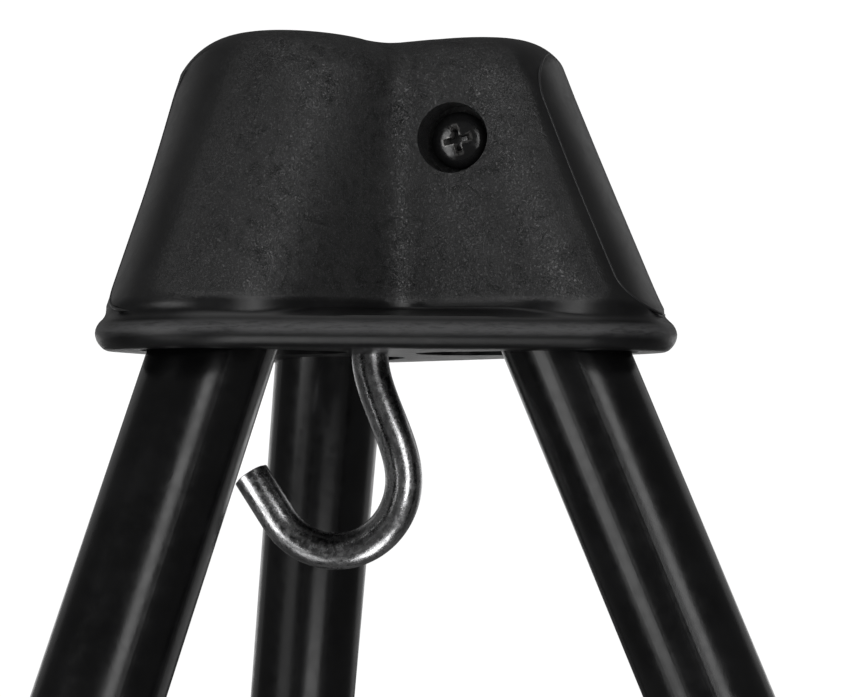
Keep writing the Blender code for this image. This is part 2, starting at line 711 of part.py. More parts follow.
def build_head(axis):
    quarter = math.radians(90)
    place("head_shell", head_mesh(), PLASTIC, axis)
    place("hook", hook_mesh(), ZINC, axis)
    nut_base = APEX_HEIGHT - NUT_POCKET_FLOOR + GAP
    nut = hex_nut("hook_nut", HOOK_NUT_HALF, HOOK_NUT_HEIGHT, HOOK_BORE_RADIUS)
    place("hook_nut", nut, ZINC, axis, (0, 0, nut_base))
    sleeve = sleeve_mesh()
    screw = pan_screw_mesh(
        "pivot_screw", SCREW_HEAD_RADIUS, SCREW_HEAD_HEIGHT, SCREW_RADIUS,
        SCREW_END + COUNTERBORE_FLOOR + GAP, RECESS_DEPTH,
    )
    for leg, azimuth in LEG_AZIMUTHS.items():
        seat = pivot_empty(f"pivot_seat_{leg}", axis)
        seat.matrix_local = pivot_frame(azimuth, 0)
        place(f"pivot_sleeve_{leg}", sleeve, ZINC, seat, rotation=(quarter, 0, 0))
        place(
            f"pivot_screw_{leg}", screw, BLACK_STEEL, seat,
            (0, -COUNTERBORE_FLOOR - GAP, 0), (quarter, 0, 0),
        )


def leg_meshes():
    return {
        "upper_tube": upper_tube_mesh(),
        "leg_plug": plug_mesh(),
        "clamp_collar": collar_mesh(),
        "collar_nut": hex_nut("collar_nut", NUT_HALF, NUT_THICKNESS, STUD_BORE),
        "collar_screw": pan_screw_mesh(
            "collar_screw", COLLAR_SCREW_HEAD_RADIUS, COLLAR_SCREW_HEAD_HEIGHT,
            COLLAR_SCREW_RADIUS, COLLAR_SCREW_LENGTH, 0,
        ),
        "clamp_knob": knob_mesh(),
        "clamp_stud": finished(
            rod("clamp_stud", STUD_RADIUS, (0, 0, STUD_START), (0, 0, STUD_END), 18)
        ),
        "lower_tube": lower_tube_mesh(),
        "glide_bush": glide_mesh(),
        "foot": foot_mesh(),
    }


def build_leg(leg, azimuth, axis, meshes):
    outwards = (0, math.radians(90), 0)  # turns a piece's +Z to point away from the leg
    end = UPPER_ABOVE_PIVOT - UPPER_LENGTH
    fold = pivot_empty(f"leg_fold_{leg}", axis)
    fold.matrix_local = pivot_frame(azimuth, -LEG_TILT)
    place(f"upper_tube_{leg}", meshes["upper_tube"], PAINT, fold)
    place(f"leg_plug_{leg}", meshes["leg_plug"], NYLON, fold)
    place(f"clamp_collar_{leg}", meshes["clamp_collar"], NYLON, fold, (0, 0, end))
    place(
        f"collar_nut_{leg}", meshes["collar_nut"], ZINC, fold,
        (NUT_FACE, 0, end - BOSS_BELOW), outwards,
    )
    place(
        f"collar_screw_{leg}", meshes["collar_screw"], BLACK_STEEL, fold,
        (COLLAR_RADIUS + GAP, 0, end + COLLAR_SCREW_ABOVE), outwards,
    )
    turn = pivot_empty(f"knob_turn_{leg}", fold, (0, 0, end - BOSS_BELOW), outwards)
    place(f"clamp_knob_{leg}", meshes["clamp_knob"], NYLON, turn, (0, 0, KNOB_BACK))
    place(f"clamp_stud_{leg}", meshes["clamp_stud"], ZINC, turn)
    slide = pivot_empty(f"leg_slide_{leg}", fold)
    place(f"lower_tube_{leg}", meshes["lower_tube"], PAINT, slide)
    top = LOWER_ABOVE_SOLE - LEG_REACH + LOWER_LENGTH
    place(f"glide_bush_{leg}", meshes["glide_bush"], NYLON, slide, (0, 0, top))
    place(f"foot_{leg}", meshes["foot"], RUBBER, slide, (0, 0, -LEG_REACH))


clear_scene()
STAND = new_collection("tripod_stand")
CUTTERS = new_collection("cutters")
tripod_axis = pivot_empty("tripod_axis", location=(AXIS_X, 0, 0))
build_head(tripod_axis)
shared = leg_meshes()
for leg_name, leg_azimuth in LEG_AZIMUTHS.items():
    build_leg(leg_name, leg_azimuth, tripod_axis, shared)
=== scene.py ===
"""The looks of the folding tripod stand: fine meshes, materials, light and camera.

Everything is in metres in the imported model's own frame. A leg's frame has its origin on the
pivot, -Z down the leg and +X pointing out from it, and the head's points are given as depths
below the apex, where the three leg axes meet.
"""

import json
from math import acos, asin, atan, atan2, cos, hypot, pi, radians, sin, sqrt, tan

import bmesh
import bpy
from mathutils import Matrix, Vector


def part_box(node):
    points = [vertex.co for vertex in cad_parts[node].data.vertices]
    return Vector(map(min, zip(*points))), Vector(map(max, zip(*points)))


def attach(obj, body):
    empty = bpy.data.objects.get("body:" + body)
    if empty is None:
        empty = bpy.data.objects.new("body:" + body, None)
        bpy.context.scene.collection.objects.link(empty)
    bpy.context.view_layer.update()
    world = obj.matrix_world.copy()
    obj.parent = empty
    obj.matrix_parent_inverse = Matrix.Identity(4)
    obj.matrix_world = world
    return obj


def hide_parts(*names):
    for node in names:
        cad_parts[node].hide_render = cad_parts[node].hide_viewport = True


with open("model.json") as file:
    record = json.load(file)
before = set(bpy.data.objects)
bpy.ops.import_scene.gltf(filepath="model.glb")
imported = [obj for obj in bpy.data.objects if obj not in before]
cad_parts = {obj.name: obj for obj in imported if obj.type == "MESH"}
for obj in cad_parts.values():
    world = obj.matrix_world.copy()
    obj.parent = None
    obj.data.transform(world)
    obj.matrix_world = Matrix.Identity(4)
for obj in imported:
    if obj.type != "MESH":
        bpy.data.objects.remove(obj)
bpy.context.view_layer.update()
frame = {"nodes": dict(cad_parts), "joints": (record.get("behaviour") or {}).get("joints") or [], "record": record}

MM = 0.001
GAP = 0.3 * MM
SIXTY, QUARTER, THIRD = radians(60), radians(90), radians(120)
LEGS = {"a": 0, "b": 120, "c": 240}  # degrees round the tripod's axis
JOINTS = {joint["name"]: joint for joint in frame["joints"]}
MOUNTS = {mount["name"]: mount for mount in frame["record"]["mounts"]}

# Driving places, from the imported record
STAND_HEIGHT = MOUNTS["head_top"]["pos_m"][2]
AXIS_X = MOUNTS["head_top"]["pos_m"][0]
PIVOT_RADIUS = JOINTS["leg_fold_a"]["pos_m"][0] - AXIS_X
PIVOT_HEIGHT = JOINTS["leg_fold_a"]["pos_m"][2]
LEG_TILT = asin(JOINTS["leg_extend_a"]["axis"][0])
APEX_HEIGHT = PIVOT_HEIGHT + PIVOT_RADIUS / tan(LEG_TILT)
LEG_REACH = PIVOT_HEIGHT / cos(LEG_TILT)
TOP_DEPTH = APEX_HEIGHT - STAND_HEIGHT
APEX = Matrix.Translation((AXIS_X, 0, APEX_HEIGHT))

# Head
BASE_DEPTH = APEX_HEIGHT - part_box("head_shell")[0].z
LOBE_RADIUS = 24.7 * MM
PANEL_HALF = radians(36)  # from the middle of the end panel to its crisp edge
PANEL_FAR = radians(60)  # and to where it has faded out on the other side
GRAIN_NEAR = radians(22)  # the grain is full this far past the crisp edge
GRAIN_FAR = radians(30)  # and this far from the middle on the other side
GRAIN_FADE = 3 * MM  # and this far above the flare
PANEL_DIP = 0.6 * MM
PANEL_TOP = 43 * MM
PANEL_FULL = 50 * MM
PANEL_FADE = 89 * MM
PANEL_BOTTOM = 97 * MM
SWELL = 1.25 * MM
FAR_SWELL = 0.7 * MM
SWELL_PEAK = 45.5 * MM
SWELL_END = 74 * MM
SWELL_OUTER = radians(68)
SHOULDER_RADIUS = 11 * MM
VALLEY_RADIUS = 11 * MM
VALLEY_SHARE = 0.92
VALLEY_DISH = 1.5 * MM
LIP_CENTRE = 40.5 * MM
LIP_RADIUS = 26.5 * MM
LIP_PROFILE = [  # how far each outline stands out from the lip's widest, and its depth
    (out * MM, depth * MM) for out, depth in (
        (-1.55, 98.2), (-1.15, 98.55), (-0.75, 99.0), (-0.38, 99.6), (-0.1, 100.3), (0, 101.0),
        (-0.06, 101.7), (-0.3, 102.5), (-0.7, 103.2), (-1.2, 103.8), (-1.75, 104.3),
    )
] + [(-2.4 * MM, BASE_DEPTH)]
FLARE_START = 95.5 * MM  # where the walls begin to flare into the lip
FLARE_CORNER = (97.2 * MM, 96.2 * MM)  # beside a narrow shelf and a wide one
WIDE_SHELF = 6 * MM
FLARE_WIDTH = 1.5 * MM
FLARE_STEPS = 6
DULL_START = 93.8 * MM  # below this the moulding is duller
DULL_FADE = 1.6 * MM
SHELF_EDGE = 0.8 * MM  # but not so dull this near to the shelf's edge
SHELF_POLISH = 0.7
# The lip's band lies between these depths: scuffing along its edge, and a painted highlight in its lighter colour.
SCUFF_AND_HIGHLIGHT_DEPTHS = (99.2 * MM, 99.8 * MM, 101.2 * MM, 102.0 * MM)
HEAD_EDGE = 0.3 * MM
CROWN_SHARES = (0.12, 0.35, 0.6, 0.85)  # of the way from the axis to the shoulder's top
END_POINTS = 40
VALLEY_POINTS = 12
SIDE_POINTS = 5
SHOULDER_STEPS = 14
WALL_STEPS = 30
BEAD_RADIUS = 0.34 * MM
BEAD_SINK = 0.2 * MM
BEAD_STEPS = 40  # round each bend of it
BEAD_STRAIGHT = 50
BEAD_TAPER = 6
LINE_TOP = 41 * MM  # the panel's raised line, at its middle
LINE_FULL = 52.5 * MM
SLOT_RADIUS = 13 * MM
SLOT_HEAD_ROOM = 10.8 * MM
SLOT_SEGMENTS = 72
COUNTERBORE_RADIUS = 7.3 * MM
COUNTERBORE_FLOOR = 17.5 * MM
SCREW_BORE_RADIUS = 3.05 * MM
SCREW_BORE_END = 21.9 * MM
HOOK_BORE_RADIUS = 4.3 * MM
HOOK_BORE_TOP = 74 * MM
NUT_POCKET_TOP = 78 * MM
NUT_POCKET_FLOOR = 85.2 * MM
NUT_POCKET_HALF = 6.85 * MM
HOOK_NUT_HALF = 6.5 * MM
HOOK_NUT_HEIGHT = 6.5 * MM
NUT_EDGE = 0.12 * MM
NUT_CHAMFER = 0.6

# Pivot screws
SCREW_HEAD_RADIUS = 5.9 * MM
SCREW_HEAD_HEIGHT = 3.2 * MM
SCREW_RADIUS = 2.75 * MM
SCREW_END = 21.5 * MM
SCREW_SHOULDER = 0.3  # of the head's height below the dome
SCREW_EDGE = 0.12 * MM
SCREW_BEVEL = 0.13 * MM  # a face narrower than this was made by rounding an edge
RECESS_DEPTH = 2.1 * MM
RECESS_TURN = 12  # degrees
RECESS_TOP = (0.65, 0.14375)  # half length and half width, in head radii, above the head
RECESS_FLOOR = (0.3, 0.085)
CROSS_HOLE_RADIUS = 4.3 * MM

# Legs
TUBE_EDGE = 0.4 * MM
UPPER_RADIUS = 12.7 * MM
UPPER_BORE = 11.5 * MM
UPPER_ABOVE_PIVOT = 8.6 * MM
UPPER_END = UPPER_ABOVE_PIVOT - 1050 * MM
LOWER_RADIUS = 10 * MM
LOWER_BORE = 8.8 * MM
FOOT_STOP = 14 * MM  # where the lower tube ends inside the foot
LOWER_END = FOOT_STOP - LEG_REACH
LOWER_TOP = LOWER_END + 1050 * MM
PLUG_DEPTH = 15 * MM
PLUG_RIM_RADIUS = 12.4 * MM
PLUG_RIM = 1.5 * MM
PLUG_ROUND = 0.6 * MM
GLIDE_RADIUS = 11.2 * MM
GLIDE_ABOVE = 12 * MM
GLIDE_BELOW = 14 * MM
GLIDE_BORE = 5 * MM
GLIDE_ROUND = 0.9 * MM
PAST_LEG = 40 * MM  # how far out a hole through a leg's wall is cut

# Clamp
COLLAR_RADIUS = 16.5 * MM
COLLAR_END_RADIUS = 14.6 * MM
COLLAR_ABOVE = 26 * MM
COLLAR_BELOW = 24 * MM
COLLAR_TAPER = 3 * MM
BOSS_BELOW = 12 * MM
BOSS_RADIUS = 9 * MM
BOSS_ROOT = 13.3 * MM
BOSS_FACE = 25.5 * MM
COLLAR_SCREW_ABOVE = 13 * MM
COLLAR_SCREW_BORE = 2.4 * MM
COLLAR_SCREW = (3.8 * MM, 2 * MM, 2 * MM, 5 * MM, 1.1 * MM)  # as pan_screw takes them
COLLAR_ROUND = 1.2 * MM
BOSS_ROUND = 0.9 * MM
GRIP_GROOVES = 10
GROOVE_RADIUS = 1.1 * MM
GROOVE_FROM = COLLAR_TAPER - COLLAR_BELOW + 4 * MM
GROOVE_TO = -7 * MM
STUD_RADIUS = 3 * MM
STUD_BORE = 3.4 * MM
STUD_START = 10.4 * MM
STUD_END = 38 * MM
NUT_FACE = 17.9 * MM
NUT_THICKNESS = 5 * MM
NUT_HALF = 5 * MM
KNOB_BACK = 26.5 * MM
KNOB_NECK = 5 * MM
KNOB_NECK_RADIUS = 7 * MM
KNOB_THICKNESS = 11 * MM
KNOB_RADIUS = 14 * MM
KNOB_LOBE = 1.6 * MM
KNOB_LOBES = 6
KNOB_ROUND = 1.6 * MM
KNOB_DISH = [(4.5 * MM, 0), (5.2 * MM, 0.7 * MM)]  # in from the rim and down from the face
KNOB_LOBE_FADE = 6 * MM
KNOB_NECK_SINK = 0.6 * MM
THREAD_PITCH = 1 * MM
THREAD_DEPTH = 0.45 * MM
STUD_TIP_RADIUS = STUD_RADIUS - 0.6 * MM

# Foot
FOOT_RIM_RADIUS = 12.8 * MM
FOOT_TREAD_RADIUS = 18.5 * MM
FOOT_HEIGHT = 44 * MM
FOOT_RINGS = 4
FOOT_RING_DEPTH = 0.8 * MM
FOOT_RING_FALL = 3.4 * MM
SOLE_GROOVE = 1.6 * MM
SOLE_GROOVE_HALF = 0.9 * MM
SOLE_GROOVE_PITCH = 6.5 * MM

# Hook
WIRE_RADIUS = 4 * MM
HOOK_CENTRE_X = -8 * MM
HOOK_CENTRE_BELOW = 27 * MM
HOOK_RADIUS = 15.6 * MM
HOOK_SWEEP = radians(146)
HOOK_TIP_LENGTH = 11.6 * MM
HOOK_HANDLE = 8.7 * MM
HOOK_TOP_DEPTH = 75 * MM
HOOK_STEPS = (20, 30, 60, 12)  # along its shank, handle, bowl and tip
WIRE_END = ((0.93, 0), (0.84, 0.28 * MM))  # the end's outlines: their size, and how far out

# Tones, darkest first
HEAD_TONES = ((0.0055, 0.0055, 0.006), (0.013, 0.013, 0.0135))
HEAD_FLECK = (0.1, 0.1, 0.101)
# the lip band's colour: rubbed plastic, lightened further as a painted highlight along the lip
HEAD_SCUFF_HIGHLIGHT = (0.085, 0.085, 0.087)
BEAD_TONE = (0.03, 0.03, 0.031)
PAINT_TONES = ((0.0035, 0.0035, 0.0038), (0.008, 0.008, 0.0085))
STEEL_TONES = ((0.010, 0.010, 0.0105), (0.2, 0.195, 0.19))
ZINC_TONES = ((0.3, 0.3, 0.305), (0.82, 0.82, 0.83))
ZINC_SPECK = (0.9, 0.9, 0.91)
ZINC_PIT = (0.08, 0.08, 0.083)
NYLON_TONES = ((0.016, 0.016, 0.017), (0.03, 0.03, 0.031))
RUBBER_TONES = ((0.014, 0.014, 0.014), (0.035, 0.034, 0.033))
PAPER_TONES = ((0.78, 0.78, 0.78), (0.82, 0.82, 0.82))
MIDDLE = (0.3, 0.7)  # most of a noise lies between these

# Room
CAMERA_FROM_APEX = (0.1662, -0.5241, -0.1218)
CAMERA_TURN = radians(16.33)
CAMERA_PITCH = radians(91.93)
CAMERA_ROLL = radians(-0.15)
CAMERA_LENS = 107.2
SENSOR_WIDTH = 36
WHITE_ROOM = 1.05  # the world's strength to the camera
ROOM_LIGHT = 0.08  # and to everything else
WHITE_FLOOR = (13.0, 13.0, 13.0)  # bright enough that the camera sees the floor as white
FLOOR_RADIUS = 60
SOFTBOXES = [  # name, azimuth, elevation, distance, width, height, radiance
    ("front_strip", 25, 10, 0.75, 0.21, 0.85, 3.1),
    ("front_low", 20, -62, 0.9, 0.4, 0.5, 2.4),
    ("left_strip", -53, 0, 1.6, 0.76, 1.3, 2.5),
    ("left_low", -58, -44, 1.2, 0.5, 0.6, 0.7),
    ("back_right", 140, 6, 2.0, 1.2, 1.6, 0.28),
    ("back_left", -140, 6, 2.0, 1.2, 1.6, 0.16),
    ("back_low", 180, -3, 2.0, 2.6, 0.4, 0.8),
    ("top", 0, 80, 2.0, 1.5, 1.5, 0.6),
]
LOW_AIM = 0.5  # the height of the gridded softboxes, which light the legs' lower parts alone
LOW_SPREAD = radians(30)
LOW_BOXES = [
    ("low_right", 55, 0, 2.4, 0.8, 0.8, 3.0),
    ("low_left", -65, 0, 2.4, 0.8, 0.8, 2.6),
    ("low_back", 175, 0, 2.4, 0.8, 0.8, 2.6),
]


# ---- helpers

def leg_frame(leg, tilt=-LEG_TILT):
    """From a leg's own frame at its pivot to the model's frame."""
    pivot = Vector(JOINTS[f"leg_fold_{leg}"]["pos_m"])
    turn = Matrix.Rotation(radians(LEGS[leg]), 4, "Z") @ Matrix.Rotation(tilt, 4, "Y")
    return Matrix.Translation(pivot) @ turn


def along_x(distance=0, height=0):
    """A frame whose +Z points outwards from the leg, at a height on the leg's axis."""
    return Matrix.Translation((distance, 0, height)) @ Matrix.Rotation(QUARTER, 4, "Y")


def up(height):
    return Matrix.Translation((0, 0, height))


def linked(name, data):
    """A new object in the scene."""
    obj = bpy.data.objects.new(name, data)
    bpy.context.scene.collection.objects.link(obj)
    return obj


def bridge(bm, first, second):
    """Faces between two rings with as many vertices each."""
    for i in range(len(first)):
        j = (i + 1) % len(first)
        bm.faces.new((first[i], second[i], second[j], first[j]))


def object_of(bm, name, frame_of=None):
    """A scene object from a bmesh, moved into the frame given."""
    mesh = bpy.data.meshes.new(name)
    bmesh.ops.recalc_face_normals(bm, faces=bm.faces)
    bm.to_mesh(mesh)
    bm.free()
    if frame_of is not None:
        mesh.transform(frame_of)
    return linked(name, mesh)


def lathe(profile, segments, closed=False):
    """A profile of (radius, height) points turned about Z."""
    bm = bmesh.new()
    turns = [2 * pi * i / segments for i in range(segments)]
    rings = []
    for radius, height in profile:
        if radius == 0:
            rings.append([bm.verts.new((0, 0, height))])
        else:
            rings.append([bm.verts.new((radius * cos(at), radius * sin(at), height)) for at in turns])
    pairs = list(zip(rings, rings[1:]))
    if closed:
        pairs.append((rings[-1], rings[0]))
    for upper, lower in pairs:
        if len(upper) == len(lower):
            bridge(bm, upper, lower)
            continue
        (tip,), rim = sorted((upper, lower), key=len)
        for i in range(segments):
            bm.faces.new((tip, rim[i], rim[(i + 1) % segments]))
    return bm


def rounded(profile, radius, steps=4, closed=False, only=None):
    """The profile with its corners rounded."""
    count = len(profile)
    points = []
    for i, corner in enumerate(profile):
        if (not closed and i in (0, count - 1)) or (only is not None and i not in only):
            points.append(corner)
            continue
        here = Vector(corner)
        back = Vector(profile[i - 1]) - here
        on = Vector(profile[(i + 1) % count]) - here
        bend = min(radius, 0.45 * back.length, 0.45 * on.length)
        start = here + back.normalized() * bend
        end = here + on.normalized() * bend
        for k in range(steps + 1):
            t = k / steps
            points.append(tuple(start * (1 - t)**2 + here * 2 * t * (1 - t) + end * t**2))
    return points


def rod(radius, start, end, segments=48):
    """A plain cylinder between two points, to cut with."""
    start, end = Vector(start), Vector(end)
    bm = bmesh.new()
    bmesh.ops.create_cone(
        bm, cap_ends=True, segments=segments,
        radius1=radius, radius2=radius, depth=(end - start).length,
    )
    turn = (end - start).to_track_quat("Z", "Y").to_matrix().to_4x4()
    bm.transform(Matrix.Translation((start + end) / 2) @ turn)
    return bm


def block(low, high):
    """A plain box between two corners, to cut with."""
    low, high = Vector(low), Vector(high)
    bm = bmesh.new()
    bmesh.ops.create_cube(bm, size=1)
    bm.transform(Matrix.Translation((low + high) / 2) @ Matrix.Diagonal((*(high - low), 1)))
    return bm


def baked(obj):
    """Applies the object's modifiers."""
    bpy.context.view_layer.update()
    evaluated = obj.evaluated_get(bpy.context.evaluated_depsgraph_get())
    mesh = bpy.data.meshes.new_from_object(evaluated)
    old = obj.data
    obj.modifiers.clear()
    obj.data = mesh
    bpy.data.meshes.remove(old)
    return obj


def combined(obj, cuts=(), joins=(), keeps=()):
    """obj with shapes joined to it, others cut from it, and only what lies inside the last ones."""
    for operation, others in (("UNION", joins), ("DIFFERENCE", cuts), ("INTERSECT", keeps)):
        for other in others:
            modifier = obj.modifiers.new(other.name, "BOOLEAN")
            modifier.operation = operation
            modifier.solver = "EXACT"
            modifier.object = other
    baked(obj)
    for other in (*joins, *cuts, *keeps):
        bpy.data.objects.remove(other, do_unlink=True)
    return obj


def softened(obj, width, angle=40, steps=2):
    """Rounds the object's sharp edges."""
    modifier = obj.modifiers.new("edges", "BEVEL")
    modifier.width = width
    modifier.segments = steps
    modifier.limit_method = "ANGLE"
    modifier.angle_limit = radians(angle)
    modifier.use_clamp_overlap = True
    return baked(obj)


def ramped(value, low, high):
    """How far value is from low to high, held between 0 and 1."""
    return max(0, min(1, (value - low) / (high - low)))


def piece(obj, body, slot, *nodes, angle=30, finish=None):
    """A finished piece of the stand: shaded, painted and riding on its body."""
    obj.data.materials.clear()
    obj.data.materials.append(FINISHES[finish or slot])
    obj.data.shade_smooth()
    obj.data.set_sharp_from_angle(angle=radians(angle))
    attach(obj, body)
    if nodes:
        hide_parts(*nodes)
    return obj


# ---- materials

class Finish:
    """A material with a principled shader, and short calls for its nodes."""

    def __init__(self, name, metallic=0.0):
        self.material = bpy.data.materials.new(name)
        self.material.use_nodes = True
        self.tree = self.material.node_tree
        self.shader = self.tree.nodes["Principled BSDF"]
        self.shader.inputs["Metallic"].default_value = metallic
        self.place = self.node("ShaderNodeTexCoord").outputs["Object"]
        self.bumped = None

    def node(self, kind, inputs=(), **settings):
        """A new node, its properties set and its inputs fed."""
        found = self.tree.nodes.new(kind)
        for name, value in settings.items():
            setattr(found, name, value)
        for name, value in dict(inputs).items():
            self.feed(found.inputs[name], value)
        return found

    def feed(self, socket, value):
        if isinstance(value, bpy.types.NodeSocket):
            self.tree.links.new(value, socket)
        else:
            socket.default_value = value

    def noise(self, scale, detail=3, roughness=0.5, distortion=0, place=None):
        inputs = {
            "Vector": place or self.place, "Scale": scale, "Detail": detail,
            "Roughness": roughness, "Distortion": distortion,
        }
        return self.node("ShaderNodeTexNoise", inputs).outputs["Fac"]

    def stretched(self, scale, place=None):
        inputs = {"Vector": place or self.place, "Scale": scale}
        return self.node("ShaderNodeMapping", inputs).outputs["Vector"]

    def attribute(self, name, output="Fac"):
        return self.node("ShaderNodeAttribute", attribute_name=name).outputs[output]

    def ramp(self, value, low, high, start=0.0, end=1.0):
        """value, spread from low..high to start..end and held there."""
        inputs = {"Value": value, "From Min": low, "From Max": high, "To Min": start, "To Max": end}
        found = self.node("ShaderNodeMapRange", inputs, interpolation_type="SMOOTHSTEP")
        return found.outputs["Result"]

    def maths(self, operation, first, second=0.0):
        found = self.node("ShaderNodeMath", {0: first, 1: second}, operation=operation)
        return found.outputs["Value"]

    def mix(self, share, *tones):
        """A colour between two."""
        first, second = [(*tone, 1) if isinstance(tone, tuple) else tone for tone in tones]
        inputs = {"Factor": share, "A": first, "B": second}
        return self.node("ShaderNodeMix", inputs, data_type="RGBA").outputs["Result"]

    def times(self, first, second):
        return self.maths("MULTIPLY", first, second)

    def shade(self, name, value):
        """Sets or feeds one of the shader's inputs."""
        self.feed(self.shader.inputs[name], value)

    def colour(self, share, tones):
        self.shade("Base Color", self.mix(share, *tones))

    def gloss(self, scale, detail, low, high, roughness=0.5):
        """A roughness that wanders between low and high."""
        self.shade("Roughness", self.ramp(self.noise(scale, detail, roughness), *MIDDLE, low, high))

    def bump(self, height, depth, strength=1.0):
        """Adds relief of that depth, in metres, over what is there already."""
        inputs = {"Distance": depth, "Strength": strength, "Height": height}
        if self.bumped is not None:
            inputs["Normal"] = self.bumped
        self.bumped = self.node("ShaderNodeBump", inputs).outputs["Normal"]
        self.shade("Normal", self.bumped)


def head_plastic():
    """Black moulded plastic: leather grain, pits and flecks, and a band along the lip's edge that is part scuffing
    and part painted highlight.
    """
    finish = Finish("head_plastic")
    grain = finish.attribute("grain")
    leather = finish.noise(1350, 3, 0.6, 2.2)
    creases = finish.ramp(finish.maths("ABSOLUTE", finish.maths("SUBTRACT", leather, 0.5)), 0.0, 0.09)
    fine = finish.noise(2700, 2, 0.65, 0.8)
    patches = finish.noise(210, 4, 0.7, 1.2)
    blotch = finish.ramp(finish.noise(48, 4, 0.62, 0.8), 0.35, 0.68)
    flecks = finish.times(finish.ramp(finish.times(fine, leather), 0.28, 0.37), grain)
    tone = finish.mix(finish.times(flecks, 0.8), finish.mix(blotch, *HEAD_TONES), HEAD_FLECK)
    drag = finish.noise(1, 5, 0.7, 0.4, place=finish.stretched((260, 260, 1700)))
    # The lip's band: scuffing streaked by drag, rougher and bumped, and a lighter colour there as a painted
    # highlight along the lip's edge.
    lip_scuff_and_highlight = finish.attribute("scuff_and_highlight")
    bare = finish.times(lip_scuff_and_highlight, finish.ramp(drag, 0.3, 0.58, 0.35, 1.0))
    finish.colour(bare, (tone, HEAD_SCUFF_HIGHLIGHT))
    rough = finish.maths("ADD", finish.ramp(patches, 0.4, 0.7, 0, 0.07), finish.ramp(grain, 0, 1, 0.3, 0.33))
    finish.shade("Roughness", finish.maths("ADD", rough, finish.times(bare, 0.2)))
    pitted = finish.times(finish.ramp(patches, 0.46, 0.68, 0, 0.7), grain)
    pits = finish.times(pitted, finish.ramp(creases, 0, 1, 1, 0))
    shine = finish.ramp(finish.attribute("dull"), 0, 1, 0.95, 0.45)
    finish.shade("Specular IOR Level", finish.maths("SUBTRACT", shine, pits))
    finish.bump(creases, 0.07 * MM, finish.ramp(grain, 0, 1, 0.08, 0.85))
    finish.bump(fine, 0.08 * MM, finish.ramp(grain, 0, 1, 0.1, 0.95))
    finish.bump(patches, 0.09 * MM, finish.ramp(grain, 0, 1, 0.1, 0.6))
    finish.bump(drag, 0.12 * MM, lip_scuff_and_highlight)
    return finish.material


def bead_plastic():
    """The smoother plastic of the raised line."""
    finish = Finish("bead_plastic")
    finish.shade("Base Color", (*BEAD_TONE, 1))
    finish.gloss(900, 3, 0.32, 0.46)
    finish.bump(finish.noise(2600, 2), 0.01 * MM)
    return finish.material


def tube_paint():
    """Glossy black paint on the tubes."""
    finish = Finish("tube_paint")
    finish.colour(finish.ramp(finish.noise(70, 4, 0.6), 0.35, 0.7), PAINT_TONES)
    finish.gloss(350, 3, 0.2, 0.27)
    finish.bump(finish.noise(900, 3, 0.55), 0.014 * MM)
    finish.bump(finish.noise(3800, 2), 0.004 * MM)
    return finish.material


def black_steel():
    """Blackened steel, bare on the worn edges."""
    finish = Finish("black_steel")
    worn = finish.times(finish.attribute("wear"), finish.ramp(finish.noise(1500, 4), 0.38, 0.56))
    finish.colour(worn, STEEL_TONES)
    finish.shade("Metallic", finish.times(worn, 0.8))
    finish.shade("Specular IOR Level", 0.8)
    finish.gloss(1300, 3, 0.14, 0.26)
    finish.bump(finish.noise(1400, 3), 0.03 * MM)
    return finish.material


def zinc_steel():
    """Zinc-plated wire, streaked along its length."""
    finish = Finish("zinc_steel", metallic=1.0)
    along = finish.attribute("along", "Vector")
    streaks = finish.noise(1, 5, 0.7, 0.3, place=finish.stretched((620, 620, 150), along))
    specks = finish.noise(2300, 3, 0.7)
    tone = finish.mix(finish.ramp(streaks, 0.32, 0.66), *ZINC_TONES)
    tone = finish.mix(finish.ramp(specks, 0.55, 0.72, 0, 0.6), tone, ZINC_SPECK)
    finish.colour(finish.ramp(finish.noise(1500, 2), 0.6, 0.72, 0, 0.7), (tone, ZINC_PIT))
    finish.gloss(900, 4, 0.17, 0.33, roughness=0.6)
    finish.bump(specks, 0.02 * MM)
    finish.bump(streaks, 0.03 * MM, 0.7)
    return finish.material


def nylon():
    """The collars' and knobs' moulded nylon."""
    finish = Finish("nylon")
    finish.colour(finish.ramp(finish.noise(90, 4), 0.35, 0.7), NYLON_TONES)
    finish.gloss(420, 3, 0.42, 0.58)
    finish.bump(finish.noise(2100, 3, 0.6), 0.035 * MM)
    return finish.material


def rubber():
    """The feet's rubber, a little dusty."""
    finish = Finish("rubber")
    finish.colour(finish.ramp(finish.noise(160, 5, 0.7), 0.5, 0.75), RUBBER_TONES)
    finish.gloss(500, 3, 0.68, 0.85)
    finish.bump(finish.noise(1300, 4, 0.65), 0.05 * MM)
    return finish.material


# ---- head

def swell(turn, depth):
    """How far the lobe's end stands out from its round form, at an angle about the leg's axis."""
    if depth < SWELL_PEAK:
        height = (depth - TOP_DEPTH) / (SWELL_PEAK - TOP_DEPTH)
    else:
        height = max(0, (SWELL_END - depth) / (SWELL_END - SWELL_PEAK)) ** 1.5
    if turn > 0:
        wave = cos(2 * pi * min(1, turn / SWELL_OUTER))
        return FAR_SWELL * height * (1 - wave) / 2
    if turn > -PANEL_HALF:
        return SWELL * height * (turn / PANEL_HALF) ** 2
    blend = min(1, (turn + PANEL_HALF) / (PANEL_HALF - SWELL_OUTER))
    return SWELL * height * (1 + cos(pi * blend)) / 2


def panel_half(depth):
    """From the panel's middle to its crisp edge at a depth, as an angle about the leg's axis."""
    if depth < PANEL_FULL:
        share = (PANEL_FULL - depth) / (PANEL_FULL - PANEL_TOP)
    else:
        share = (depth - PANEL_FADE) / (PANEL_BOTTOM - PANEL_FADE)
    return PANEL_HALF * sqrt(max(0, 1 - max(0, share) ** 2))


